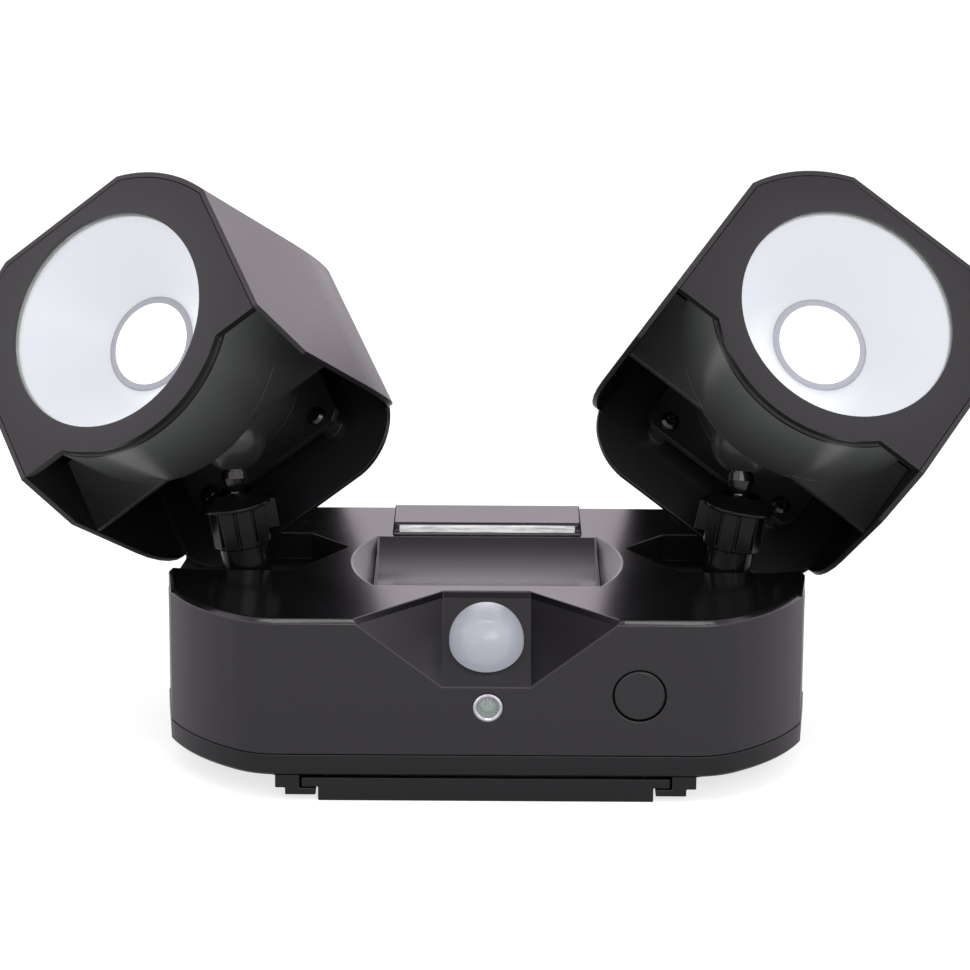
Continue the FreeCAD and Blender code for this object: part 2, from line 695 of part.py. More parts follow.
def build_bracket():
    body = new_body("mounting_bracket")
    hook_z = d.rail_z + 2.5
    hook_top = d.cover_z - d.bracket_gap
    inner_x = d.plate_x - 2.0
    shape = mirrored([
        (d.plate_x, 0), (d.plate_x, hook_z), (d.hook_x, hook_z), (d.hook_x, hook_top),
        (inner_x, hook_top), (inner_x, d.plate_thick)])
    pad(body, "XZ_Plane", -d.plate_y, [shape], d.plate_y * 2.0)
    # wall that closes the front between the two hooks
    front_wall = mirrored([(inner_x + 1.0, 1.0), (inner_x + 1.0, hook_top)])
    pad(body, "XZ_Plane", d.plate_y - d.plate_thick, [front_wall], d.plate_thick)
    spots = [(d.hole_x * sx, d.hole_y * sy, d.hole_r) for sx in (1, -1) for sy in (1, -1)]
    pocket(body, "XY_Plane", 0, spots, d.plate_thick + 1.0, back=True)
    slot = [(d.hole_r, d.slot_y - 8.0), (d.hole_r, d.slot_y + 8.0, d.hole_r, 1),
            (-d.hole_r, d.slot_y + 8.0), (-d.hole_r, d.slot_y - 8.0, d.hole_r, 1)]
    pocket(body, "XY_Plane", 0, [slot], d.plate_thick + 1.0, back=True)
    keep(body, "mounting_bracket")


def build_power():
    number = 0
    for sx in (-1, 1):
        for sy in (-1, 1):
            number += 1
            name = "battery_" + str(number)
            body = new_body(name)
            spin(body, "Revolution", [
                (0, 0), (d.cell_r - 3.0, 0), (d.cell_r - 1.4, 0.8), (d.cell_r, 0.8),
                (d.cell_r, d.cell_long - 3.0), (d.cell_r - 1.2, d.cell_long - 1.6),
                (4.8, d.cell_long - 1.6), (4.8, d.cell_long), (0, d.cell_long)])
            start = -d.cell_long.value - 0.1 if sx < 0 else 0.1
            keep(body, name, Placement(Vector(start, sy * d.cell_y.value, d.cell_z.value),
                                       Rotation(Vector(0, 1, 0), 90)))
    length = d.cell_long + 3.0
    tray = new_body("battery_tray")
    low = d.cover_z + d.cover_floor
    tray_y = d.cell_y + d.cell_r + 1.4
    pad(tray, "XY_Plane", low, [mirrored([(length, -tray_y), (length, tray_y)])], 9.0)
    for side in (1, -1):
        shape = [(length * side, -tray_y), ((length - 1.6) * side, -tray_y),
                 ((length - 1.6) * side, tray_y), (length * side, tray_y)]
        pad(tray, "XY_Plane", low, [shape[::-1] if side > 0 else shape], 25.0)
    pocket(tray, "YZ_Plane", -d.cell_long - 0.9,
           [(d.cell_y * sy, d.cell_z, d.cell_r + 0.3) for sy in (1, -1)],
           d.cell_long * 2.0 + 1.8, back=True)
    keep(tray, "battery_tray")
    for side, name in ((-1, "contact_left"), (1, "contact_right")):
        inner = d.cell_long + 0.4
        low_x = inner if side > 0 else -inner - 0.9
        plate = box(name, 0.9, d.cell_y * 2.0 + 14.0, 13.0,
                    (low_x, -d.cell_y - 7.0, d.cell_z - 6.5))
        keep(plate, name)


def build_boards():
    front = -d.base_y + d.board_gap
    body = new_body("main_board")
    low = d.seam_z - 1.6
    high = d.button_z + 4.8
    middle = d.notch_z - 2.6
    shape = [(-d.board_x, low), (d.board_x, low), (d.board_x, high), (d.board_step_x, high),
             (d.board_step_x, middle), (-d.board_x, middle)]
    pad(body, "XZ_Plane", -front, [shape], d.board_thick, back=True)
    keep(body, "main_board")
    switch = box("tact_switch", 6.0, 3.4, 6.0,
                 (d.button_x - 3.0, front - 3.4, d.button_z - 3.0))
    keep(switch, "tact_switch")
    button = new_body("mode_button")
    # the cap's face lies a little below the front face, its flange behind the wall
    spin(button, "Revolution", [
        (0, -3.4), (d.button_r + 1.3, -3.4), (d.button_r + 1.3, -2.5), (d.button_r, -2.5),
        (d.button_r, -0.7), (d.button_r - 0.5, -0.2), (0, -0.2)])
    pad(button, "XY_Plane", -6.8, [(0, 0, 2.2)], 4.0)
    keep(button, "mode_button", front_frame(d.button_x, d.button_z))
    eye = front_frame(d.eye_x, d.eye_z)
    ring = new_body("photocell_ring")
    spin(ring, "Revolution", [
        (d.eye_glass_r, -0.8), (d.eye_r - 0.05, -0.8), (d.eye_r - 0.05, 0.3),
        (d.eye_r - 0.4, 0.6), (d.eye_glass_r + 0.3, 0.6), (d.eye_glass_r, 0.3)])
    keep(ring, "photocell_ring", eye)
    glass = new_body("photocell_window")
    spin(glass, "Revolution", [
        (0, -0.8), (d.eye_glass_r - 0.05, -0.8), (d.eye_glass_r - 0.05, 0.1), (0, 0.35)])
    keep(glass, "photocell_window", eye)
    cell = new_body("photocell")
    spin(cell, "Revolution", [
        (0, -d.board_gap), (2.4, -d.board_gap), (2.4, -3.4), (2.1, -3.0), (0, -3.0)])
    keep(cell, "photocell", eye)
    dome = new_body("pir_dome")
    inner = d.dome_r - d.dome_wall
    spin(dome, "Revolution", [
        (inner, 0.02), (d.dome_r, 0.02), (d.dome_r, d.dome_rise, d.dome_r, 1),
        (0, d.dome_rise + d.dome_r), (0, d.dome_rise + inner, inner, -1), (inner, d.dome_rise)])
    keep(dome, "pir_dome", panel_frame)
    sensor = new_body("pir_sensor")
    spin(sensor, "Revolution", [
        (0, -8.0), (4.9, -8.0), (4.9, -7.4), (4.3, -7.4), (4.3, -3.2), (0, -3.2)])
    pocket(sensor, "XY_Plane", -3.2, [[(-2.0, -1.5), (2.0, -1.5), (2.0, 1.5), (-2.0, 1.5)]], 0.3)
    keep(sensor, "pir_sensor", panel_frame)
    plate = box("sensor_board", 23.6, 11.0, 1.2, (-11.8, -5.5, -9.2), panel_frame)
    keep(plate, "sensor_board")


def build_strip():
    low = d.top_z + d.strip_z + 0.05
    lens = box("strip_lens", d.strip_x * 2.0 - 0.2, 3.2, d.strip_tall - 0.1,
               (-d.strip_x + 0.1, d.bar_y + 0.15, low))
    keep(lens, "strip_lens")
    board = box("strip_board", d.strip_x * 2.0 - 1.6, 1.2, d.bar_rise + d.wall - 0.6,
                (-d.strip_x + 0.8, d.bar_y + 6.4, d.top_z - d.wall - 0.8))
    keep(board, "strip_board")
    bar = box("strip_led_bar", d.strip_x * 2.0 - 6.0, 1.0, 1.4,
              (-d.strip_x + 3.0, d.bar_y + 5.4, low + 0.15))
    keep(bar, "strip_led_bar")


# Arms
def arm_frame(side):
    lean = Rotation(Vector(0, 1, 0), side * d.arm_lean.value)
    return Placement(Vector(side * d.arm_x.value, d.arm_y.value, d.arm_z.value), lean)


def build_arm(side, name):
    frame = arm_frame(side)
    floor = d.top_z - d.well_deep
    drop = (d.arm_z.value - floor.value) / math.cos(math.radians(d.arm_lean.value))
    tube = rod("post_tube_" + name, d.post_r, drop + 4.0, (0, 0, -drop - 3.6), frame)
    bore = rod("post_bore_" + name, d.seat_r + d.play, 12.0, (0, 0, -6.9), frame)
    under = box("post_under_" + name, 60.0, 60.0, 20.0,
                (side * arm_foot_x() - 30.0, d.arm_y - 30.0, floor - 20.0))
    upper = join("Cut", "post_upper_" + name, tube, under)
    foot_spot = (side * arm_foot_x(), d.arm_y, floor)
    foot = doc.addObject("Part::Cone", "post_foot_" + name)
    for path, size in (("Radius1", d.foot_r), ("Radius2", d.post_r + 0.1), ("Height", as_size(3.0))):
        bind(foot, path, size)
    shift_to(foot, foot_spot)
    tail = rod("post_tail_" + name, d.tail_r, 10.6, (foot_spot[0], foot_spot[1], floor - 10.4))
    solid = join("MultiFuse", "post_solid_" + name, upper, foot, tail)
    post = join("Cut", "arm_post_" + name, solid, bore)
    keep(post, "arm_post_" + name)
    nut_z = floor - d.well_floor - 4.6
    prism = doc.addObject("Part::Prism", "nut_prism_" + name)
    prism.Polygon = 6
    bind(prism, "Circumradius", d.tail_r + 4.2)
    bind(prism, "Height", as_size(4.4))
    shift_to(prism, (foot_spot[0], foot_spot[1], nut_z))
    hole = rod("nut_hole_" + name, d.tail_r + 0.15, 8.0, (foot_spot[0], foot_spot[1], nut_z - 1.0))
    keep(join("Cut", "arm_nut_" + name, prism, hole), "arm_nut_" + name)

    cup = new_body("seat_cup_" + name)
    inner = d.ball_r + d.play
    lip = d.ball_r * 0.6
    spin(cup, "Revolution", [
        (0, -inner - 1.3), (d.seat_r - 0.6, -inner - 1.3), (d.seat_r, -inner - 0.7),
        (d.seat_r, lip - 1.0), (d.seat_r - 1.3, lip),
        (root(inner * inner - lip * lip), lip, inner, -1), (0, -inner)])
    keep(cup, "seat_cup_" + name, frame)

    collar = new_body("locking_collar_" + name)
    spin(collar, "Revolution", [
        (d.post_r + d.play, d.collar_low), (d.collar_r - 0.5, d.collar_low),
        (d.collar_r - 0.3, d.collar_low + 1.2), (d.collar_r - 1.0, d.collar_low + 1.2),
        (d.collar_r - 0.6, 0.6), (d.rim_r, 1.0), (d.rim_r, 2.0),
        (d.mouth_r, 5.3), (d.mouth_r, 3.9), (d.post_r + d.play, 2.1)])
    count = 10
    wide = 2.15
    rib = new_sketch(collar, "XY_Plane", d.collar_low + 0.3,
                     [[(d.collar_r - 1.4, -wide), (d.collar_r - 0.25, -wide),
                       (d.collar_r - 0.25, wide), (d.collar_r - 1.4, wide)]])
    ribs = collar.newObject("PartDesign::Pad", "collar_rib_" + name)
    ribs.Profile = rib
    ribs.Length = 12.0
    doc.recompute()
    ring = collar.newObject("PartDesign::PolarPattern", "collar_ribs_" + name)
    ring.Originals = [ribs]
    ring.Axis = (rib, ["N_Axis"])
    ring.Angle = 360.0
    ring.Occurrences = count
    collar.Tip = ring
    doc.recompute()
    inward = -side
    wing = [((d.collar_r - 1.2) * inward, -1.6), (d.wing_r * inward, -1.6),
            (d.wing_r * inward, 1.6), ((d.collar_r - 1.2) * inward, 1.6)]
    pad(collar, "XY_Plane", -7.4, [wing if inward > 0 else wing[::-1]], 9.2)
    keep(collar, "locking_collar_" + name, frame)


# Heads
def head_frame(name):
    side = 1 if name == "right" else -1
    turn = Rotation(Vector(0, 0, 1), -dims["yaw_" + name].value)
    tilt = Rotation(Vector(1, 0, 0), 90 - dims["pitch_" + name].value)
    roll = Rotation(Vector(0, 0, 1), dims["roll_" + name].value)
    rotation = turn.multiply(tilt).multiply(roll)
    ball = Vector(side * d.ball_out.value, d.ball_down.value, d.ball_back.value)
    centre = Vector(side * d.arm_x.value, d.arm_y.value, d.arm_z.value)
    return Placement(centre - rotation.multVec(ball), rotation)


def stem_frame(side):
    """Frame at the ball centre whose z axis runs along the stem, in the head frame."""
    ball = Vector(side * d.ball_out.value, d.ball_down.value, d.ball_back.value)
    knuckle = Vector(0, d.knuckle_y.value, d.knuckle_z.value)
    return Placement(ball, Rotation(Vector(0, 0, 1), knuckle - ball)), (knuckle - ball).Length


def hood_half(inset, low, share=0.0):
    """Right half of the hood outline, from its lower end to the top; share 1 is the back."""
    side_x = d.head_x + (d.back_x - d.head_x) * share
    top = d.head_top + (d.back_top - d.head_top) * share
    corner = d.head_chamfer * (1.0 - 0.2 * share)
    return [
        (side_x - inset, low),
        (side_x - inset, top - corner - inset * 0.1, d.head_arch_r, 1),
        (side_x - corner - inset * 0.1, top - inset)]


def hood_sections(inset, low, front, deep):
    """Sections of the hood: straight from front, then on a quarter of an ellipse to deep."""
    sections = [(as_size(front), mirrored(hood_half(inset, low)))]
    for step in range(HOOD_STEPS + 1):
        turn = math.pi / 2 * step / HOOD_STEPS
        place = d.hood_straight + (deep - d.hood_straight) * math.sin(turn)
        share = 1.0 - math.cos(turn)
        section_low = low + (d.back_side_y - d.side_low) * share
        sections.append((-place, mirrored(hood_half(inset, section_low, share))))
    return sections


def build_hood(name, frame):
    body = new_body("hood_" + name)
    cut_loft(body, "AdditiveLoft", "XY_Plane",
             hood_sections(as_size(0), d.side_low, 0, d.hood_deep))
    low = d.back_low - 6.0
    cut_loft(body, "SubtractiveLoft", "XY_Plane",
             hood_sections(d.hood_wall, low, 1.0, d.hood_deep - d.hood_wall))
    skirt = mirrored([
        (d.back_low_x, d.back_low, d.back_corner_r, 1), (d.back_x, d.back_side_y),
        (d.back_x, d.back_side_y + 6.0)])
    pad(body, "XY_Plane", -d.hood_deep, [skirt], d.hood_wall)
    # slanted front ends of the sides
    reach = d.head_x + 4.0
    wedge = [(low, d.slant_z), (d.side_low, d.slant_z), (d.shoulder_y, 0), (d.shoulder_y, 2.0),
             (low, 2.0)]
    pocket(body, "YZ_Plane", -reach, [wedge], reach * 2.0, back=True)
    spots = [(d.ear_x * sx, d.ear_y, as_size(4.2)) for sx in (1, -1)]
    spots += [(d.ear_x * sx, -d.ear_y, as_size(4.2)) for sx in (1, -1)]
    deep = d.hood_deep - d.hood_wall * 0.5
    pad(body, "XY_Plane", -deep, spots, deep + d.flange_z - d.flange_thick)
    pocket(body, "XY_Plane", d.flange_z - d.flange_thick,
           [(d.ear_x * sx, d.ear_y, d.screw_r - 0.05) for sx in (1, -1)],
           d.hood_deep + d.flange_z - d.flange_thick - d.hood_wall)
    keep(body, "hood_" + name, frame)


def build_lamp_body(side, name, frame):
    gap = as_size(0.15)
    limit = new_body("lamp_limit_" + name)
    pad(limit, "XY_Plane", d.flange_z - 1.0,
        [mirrored(hood_half(d.hood_wall + gap, d.back_low - 8.0))], -d.flange_z + 2.0)
    bowl = new_body("lamp_bowl_" + name)
    spin(bowl, "Revolution", [
        (0, d.flange_z), (d.bowl_tube_r, d.flange_z), (d.bowl_tube_r, d.bowl_tube_z),
        (d.bowl_back_r, d.bowl_back_z, d.bowl_curve_r, 1), (d.bowl_r, d.bowl_turn),
        (d.bowl_r, -d.bezel_thick - 1.2), (0, -d.bezel_thick - 1.2)])
    trimmed = join("MultiCommon", "lamp_trim_" + name, limit, bowl)
    face = new_body("lamp_face_" + name)
    inner = d.hood_wall + gap
    half = [
        (d.notch_edge_x, d.shoulder_y), (d.head_x - inner, d.shoulder_y),
        (d.head_x - inner, d.head_top - d.head_chamfer - inner * 0.1, d.head_arch_r, 1),
        (d.head_x - d.head_chamfer - inner * 0.1, d.head_top - inner)]
    plate = mirrored(half)
    # the lower edge is an arc about the lens centre
    last = plate[-1]
    plate[-1] = (last[0], last[1], d.bezel_r, 1)
    pad(face, "XY_Plane", -d.bezel_thick - 1.4, [plate], d.bezel_thick + 1.4)
    ledge = box("lamp_ledge_" + name, (d.head_x - inner) * 2.0, 26.0, 1.6,
                (-d.head_x + inner, d.ledge_y, d.ledge_z - 0.8))
    flange = new_body("lamp_flange_" + name)
    pad(flange, "XY_Plane", d.flange_z - d.flange_thick, [mirrored([
        (d.flange_x - 3.0, d.flange_low), (d.flange_x, d.flange_low + 3.0), (d.flange_x, -d.flange_low - 1.0),
        (d.flange_x - 4.0, -d.flange_low + 1.5)])], d.flange_thick)
    pocket(flange, "XY_Plane", d.flange_z + 1.0,
           [(d.ear_x * sx, d.ear_y, d.screw_r + 0.2) for sx in (1, -1)], d.flange_thick + 2.0)
    knuckle = doc.addObject("Part::Sphere", "lamp_knuckle_" + name)
    bind(knuckle, "Radius", d.knuckle_r)
    shift_to(knuckle, (0, d.knuckle_y, d.knuckle_z))
    solid = join("MultiFuse", "lamp_solid_" + name, trimmed, face, ledge, flange, knuckle)
    hollow = new_body("lamp_hollow_" + name)
    spin(hollow, "Revolution", [
        (0, -27.4), (16.4, -27.4), (17.6, -25.4), (d.lens_r + 0.2, -7.0),
        (d.lens_r + 0.2, -d.bezel_thick), (d.lens_open_r, -d.bezel_thick), (d.lens_open_r, 1.0),
        (0, 1.0)])
    rear = new_body("lamp_rear_" + name)
    spin(rear, "Revolution", [
        (0, -34.0), (20.0, -34.0), (20.0, d.flange_z - 4.0), (0, d.flange_z - 4.0)][::-1])
    along, length = stem_frame(side)
    socket = rod("stem_hole_" + name, d.spigot_r + d.play, 9.0, (0, 0, length - 10.2), along)
    counter = rod("stem_counter_" + name, d.neck_r + d.play + 0.2, 6.0, (0, 0, length - 9.5 - 6.0),
                  along)
    tools = join("MultiFuse", "lamp_tools_" + name, hollow, rear, socket, counter)
    keep(join("Cut", "lamp_body_" + name, solid, tools), "lamp_body_" + name, frame)


def build_optics(name, frame):
    lens = new_body("lens_" + name)
    back = -d.bezel_thick - d.lens_thick
    spin(lens, "Revolution", [
        (0, back), (d.lens_r, back), (d.lens_r, -d.bezel_thick), (0, -d.bezel_thick)])
    keep(lens, "lens_" + name, frame)
    seal = new_body("lens_seal_" + name)
    inner = d.lens_r - d.seal_wide
    spin(seal, "Revolution", [
        (inner, back - d.seal_thick), (d.lens_r, back - d.seal_thick), (d.lens_r, back),
        (inner, back)])
    keep(seal, "lens_seal_" + name, frame)
    mirror = new_body("reflector_" + name)
    rim = back - d.seal_thick
    spin(mirror, "Revolution", [
        (d.ring_r + 0.1, d.led_z + 0.4), (d.ring_r + 1.1, d.led_z + 0.2),
        (d.lens_open_r + 0.6, rim - 1.0), (d.lens_r, rim - 1.0), (d.lens_r, rim),
        (d.lens_open_r - 0.2, rim)])
    keep(mirror, "reflector_" + name, frame)
    chip = new_body("led_chip_" + name)
    spin(chip, "Revolution", [
        (0, d.led_z - 1.0), (d.led_r, d.led_z - 1.0), (d.led_r, d.led_z), (0, d.led_z)])
    keep(chip, "led_chip_" + name, frame)
    ring = new_body("led_ring_" + name)
    spin(ring, "Revolution", [
        (d.led_r + 0.1, d.led_z - 1.0), (d.ring_r, d.led_z - 1.0), (d.ring_r, d.led_z + 0.2),
        (d.ring_r - 0.5, d.led_z + 0.5), (d.led_r + 0.6, d.led_z + 0.5), (d.led_r + 0.1, d.led_z)])
    keep(ring, "led_ring_" + name, frame)
    board = new_body("led_board_" + name)
    spin(board, "Revolution", [
        (0, d.led_z - 2.8), (16.2, d.led_z - 2.8), (16.2, d.led_z - 1.0), (0, d.led_z - 1.0)])
    keep(board, "led_board_" + name, frame)


def build_head_screws(name, frame):
    shank = d.hood_deep + d.flange_z - d.hood_wall - 0.4
    for number, side in ((1, -1), (2, 1)):
        body = new_body("head_screw_" + str(number) + "_" + name)
        spin(body, "Revolution", [
            (0, -shank), (d.screw_r - 0.1, -shank + 0.6), (d.screw_r - 0.1, 0), (d.screw_head_r, 0),
            (d.screw_head_r, 1.0), (d.screw_head_r - 0.9, 1.8), (0, 2.0)])
        for slot in ([(-1.6, -0.35), (1.6, -0.35), (1.6, 0.35), (-1.6, 0.35)],
                     [(-0.35, -1.6), (0.35, -1.6), (0.35, 1.6), (-0.35, 1.6)]):
            pocket(body, "XY_Plane", 2.2, [slot], 1.1)
        spot = Placement(Vector(side * d.ear_x.value, d.ear_y.value, d.flange_z.value), Rotation())
        keep(body, "head_screw_" + str(number) + "_" + name, frame.multiply(spot))


def build_stem(side, name, frame):
    along, length = stem_frame(side)
    stem = new_body("stem_shaft_" + name)
    end = as_size(length - 1.8)
    spin(stem, "Revolution", [
        (0, 0), (2.5, 0), (2.5, 4.8), (d.neck_r, 8.8), (d.neck_r, as_size(length - 9.9)),
        (d.spigot_r, as_size(length - 9.9)), (d.spigot_r, end - 0.6),
        (d.spigot_r - 0.6, end), (0, end)])
    ball = doc.addObject("Part::Sphere", "stem_ball_" + name)
    bind(ball, "Radius", d.ball_r)
    both = join("MultiFuse", "ball_stem_" + name, stem, ball)
    keep(both, "ball_stem_" + name, frame.multiply(along))


def build_head(side, name):
    frame = head_frame(name)
    build_hood(name, frame)
    build_lamp_body(side, name, frame)
    build_optics(name, frame)
    build_head_screws(name, frame)
    build_stem(side, name, frame)


finish_housing()
build_cover()
build_cover_screws()
build_bracket()
build_power()
build_boards()
build_strip()
for arm_side, arm_name in ((-1, "left"), (1, "right")):
    build_arm(arm_side, arm_name)
    build_head(arm_side, arm_name)

doc.recompute()
for item in doc.Objects:
    if "Invalid" in item.State or "Error" in item.State:
        raise RuntimeError("not computed: " + item.Name + " " + str(item.State))
os.makedirs("parts", exist_ok=True)
for name, item in nodes:
    shape = item.Shape
    if shape.isNull() or not shape.isValid():
        raise RuntimeError("bad shape: " + name)
    shape.exportStep(os.path.join("parts", name + ".step"))
print("pieces", len(nodes))
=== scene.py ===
import bmesh
import bpy
import json
import math
from mathutils import Matrix, Vector
from mathutils.bvhtree import BVHTree


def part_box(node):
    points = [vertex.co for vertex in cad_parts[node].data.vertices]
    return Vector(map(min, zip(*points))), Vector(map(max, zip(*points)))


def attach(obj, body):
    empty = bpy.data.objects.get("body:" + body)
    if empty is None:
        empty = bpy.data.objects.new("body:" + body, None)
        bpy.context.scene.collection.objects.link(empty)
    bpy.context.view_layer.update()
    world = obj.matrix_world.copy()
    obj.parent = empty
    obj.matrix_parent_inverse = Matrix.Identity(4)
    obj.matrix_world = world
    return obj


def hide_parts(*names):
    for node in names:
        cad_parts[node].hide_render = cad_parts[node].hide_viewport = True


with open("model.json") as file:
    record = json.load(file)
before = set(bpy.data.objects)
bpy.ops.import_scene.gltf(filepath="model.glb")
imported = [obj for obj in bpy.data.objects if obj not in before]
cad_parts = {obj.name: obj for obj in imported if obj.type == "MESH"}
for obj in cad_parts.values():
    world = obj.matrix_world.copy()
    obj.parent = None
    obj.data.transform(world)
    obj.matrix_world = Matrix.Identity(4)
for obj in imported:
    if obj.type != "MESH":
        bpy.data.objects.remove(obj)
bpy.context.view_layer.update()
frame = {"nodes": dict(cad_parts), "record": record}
nodes = frame["nodes"]
record = frame["record"]
sides = ("left", "right")
print("frame loaded with", len(nodes), "nodes")


# node groups that several finishes share

def newGroup(name, inputs, outputs):
    group = bpy.data.node_groups.new(name, "ShaderNodeTree")
    for word, kind, value in inputs:
        socket = group.interface.new_socket(word, in_out="INPUT", socket_type="NodeSocket" + kind)
        if value is not None:
            socket.default_value = value
    for word, kind in outputs:
        group.interface.new_socket(word, in_out="OUTPUT", socket_type="NodeSocket" + kind)
    return group, group.nodes.new("NodeGroupInput"), group.nodes.new("NodeGroupOutput")


def addNode(tree, kind, settings=None, **values):
    node = tree.nodes.new("ShaderNode" + kind)
    for word, value in (settings or {}).items():
        setattr(node, word, value)
    for word, value in values.items():
        node.inputs[word.replace("_", " ")].default_value = value
    return node


def mathNode(tree, operation, first, second, clamp=False):
    node = addNode(tree, "Math", {"operation": operation, "use_clamp": clamp})
    for index, value in enumerate((first, second)):
        if isinstance(value, (int, float)):
            node.inputs[index].default_value = value
        else:
            tree.links.new(value, node.inputs[index])
    return node.outputs["Value"]


def noiseOf(tree, vector, scale, detail=2.0, roughness=0.5):
    node = addNode(tree, "TexNoise", Detail=detail, Roughness=roughness)
    tree.links.new(vector, node.inputs["Vector"])
    if isinstance(scale, (int, float)):
        node.inputs["Scale"].default_value = scale
    else:
        tree.links.new(scale, node.inputs["Scale"])
    return node.outputs["Fac"]


def mixColours(tree, factor, first, second):
    # a colour is a tuple or a socket; a Mix node's colours are its inputs 6 and 7 and output 2
    mix = addNode(tree, "Mix", {"data_type": "RGBA"})
    tree.links.new(factor, mix.inputs["Factor"])
    for index, colour in ((6, first), (7, second)):
        if isinstance(colour, tuple):
            mix.inputs[index].default_value = (*colour, 1.0)
        else:
            tree.links.new(colour, mix.inputs[index])
    return mix.outputs[2]


def splitVector(tree, vector):
    split = tree.nodes.new("ShaderNodeSeparateXYZ")
    tree.links.new(vector, split.inputs["Vector"])
    return split.outputs


def fadeBetween(tree, value, start, end):
    # 0 at the start, 1 at the end
    shifted = mathNode(tree, "SUBTRACT", value, start)
    return mathNode(tree, "DIVIDE", shifted, end - start, True)


def mouldSkinGroup():
    # fine spark-eroded grain, with broad changes of gloss
    look = {"broad": 26.0, "middle": 190.0, "broadShare": 0.7, "middleShare": 0.3}
    group, first, last = newGroup(
        "mouldSkin",
        [("Vector", "Vector", None), ("Grain", "Float", 2400.0), ("Gloss", "Float", 0.35),
         ("Change", "Float", 0.08)],
        [("Height", "Float"), ("Roughness", "Float"), ("Patches", "Float")])
    vector = first.outputs["Vector"]
    fine = noiseOf(group, vector, first.outputs["Grain"], 3.0, 0.6)
    broad = noiseOf(group, vector, look["broad"], 3.0, 0.55)
    middle = noiseOf(group, vector, look["middle"], 2.0, 0.5)
    both = mathNode(group, "ADD", mathNode(group, "MULTIPLY", broad, look["broadShare"]),
                    mathNode(group, "MULTIPLY", middle, look["middleShare"]))
    # noise runs from 0 to 1, so this swings from -Change to Change
    swing = mathNode(group, "MULTIPLY", mathNode(group, "SUBTRACT", both, 0.5),
                     first.outputs["Change"])
    rough = mathNode(group, "ADD", mathNode(group, "MULTIPLY", swing, 2.0),
                     first.outputs["Gloss"], True)
    group.links.new(fine, last.inputs["Height"])
    group.links.new(rough, last.inputs["Roughness"])
    group.links.new(both, last.inputs["Patches"])
    return group


def dustGroup():
    # small pale specks that lie on top of a colour
    look = {"scale": 1500.0, "least": 0.62, "contrast": 4.0, "speck": (0.32, 0.31, 0.31)}
    group, first, last = newGroup(
        "fineDust",
        [("Vector", "Vector", None), ("Color", "Color", (0.02, 0.02, 0.02, 1.0)),
         ("Amount", "Float", 0.2)],
        [("Color", "Color")])
    specks = noiseOf(group, first.outputs["Vector"], look["scale"], 4.0, 0.7)
    mask = mathNode(group, "MULTIPLY", mathNode(group, "SUBTRACT", specks, look["least"], True),
                    look["contrast"], True)
    mask = mathNode(group, "MULTIPLY", mask, first.outputs["Amount"])
    colour = mixColours(group, mask, first.outputs["Color"], look["speck"])
    group.links.new(colour, last.inputs["Color"])
    return group


def radialGroup():
    # 0 at a centre, 1 at a distance from it
    group, first, last = newGroup(
        "radialFade",
        [("Vector", "Vector", None), ("Centre", "Vector", None), ("Radius", "Float", 0.02)],
        [("Fade", "Float")])
    span = addNode(group, "VectorMath", {"operation": "DISTANCE"})
    group.links.new(first.outputs["Vector"], span.inputs[0])
    group.links.new(first.outputs["Centre"], span.inputs[1])
    fade = mathNode(group, "DIVIDE", span.outputs["Value"], first.outputs["Radius"], True)
    group.links.new(fade, last.inputs["Fade"])
    return group


groups = {"mouldSkin": mouldSkinGroup(), "fineDust": dustGroup(), "radialFade": radialGroup()}


# finishes

def emptyMaterial(name):
    material = bpy.data.materials.new(name)
    material.use_nodes = True
    tree = material.node_tree
    tree.nodes.clear()
    return material, tree, tree.nodes.new("ShaderNodeOutputMaterial")


def newMaterial(name, **values):
    material, tree, output = emptyMaterial(name)
    shader = addNode(tree, "BsdfPrincipled", None, **values)
    tree.links.new(shader.outputs["BSDF"], output.inputs["Surface"])
    place = tree.nodes.new("ShaderNodeTexCoord").outputs["Object"]
    return material, tree, shader, place


def useGroup(tree, name, place, **values):
    node = tree.nodes.new("ShaderNodeGroup")
    node.node_tree = groups[name]
    tree.links.new(place, node.inputs["Vector"])
    for word, value in values.items():
        node.inputs[word].default_value = value
    return node


def addSkin(tree, shader, place, **values):
    skin = useGroup(tree, "mouldSkin", place, **values)
    tree.links.new(skin.outputs["Roughness"], shader.inputs["Roughness"])
    return skin


def feedColour(tree, colour, shader, *words):
    for word in words:
        tree.links.new(colour, shader.inputs[word])


def addRelief(tree, shader, height, depth, strength=1.0):
    bump = addNode(tree, "Bump", None, Strength=strength, Distance=depth)
    tree.links.new(height, bump.inputs["Height"])
    tree.links.new(bump.outputs["Normal"], shader.inputs["Normal"])


def mouldedPlastic(name, look):
    material, tree, shader, place = newMaterial(
        name, IOR=look["ior"], Specular_IOR_Level=look.get("level", 0.5))
    skin = addSkin(tree, shader, place, Grain=look["grain"], Gloss=look["gloss"],
                   Change=look["change"])
    dust = useGroup(tree, "fineDust", place, Color=(*look["colour"], 1.0), Amount=look["dust"])
    tree.links.new(dust.outputs["Color"], shader.inputs["Base Color"])
    addRelief(tree, shader, skin.outputs["Height"], look["depth"])
    return material


def insideBox(tree, split, low, high):
    # 1 inside a box of object coordinates; x is taken without its sign
    across = mathNode(tree, "ABSOLUTE", split["X"], 0.0)
    mask = None
    for value, least, most in zip((across, split["Y"], split["Z"]), low, high):
        both = mathNode(tree, "MULTIPLY", mathNode(tree, "GREATER_THAN", value, least),
                        mathNode(tree, "LESS_THAN", value, most))
        mask = both if mask is None else mathNode(tree, "MULTIPLY", mask, both)
    return mask


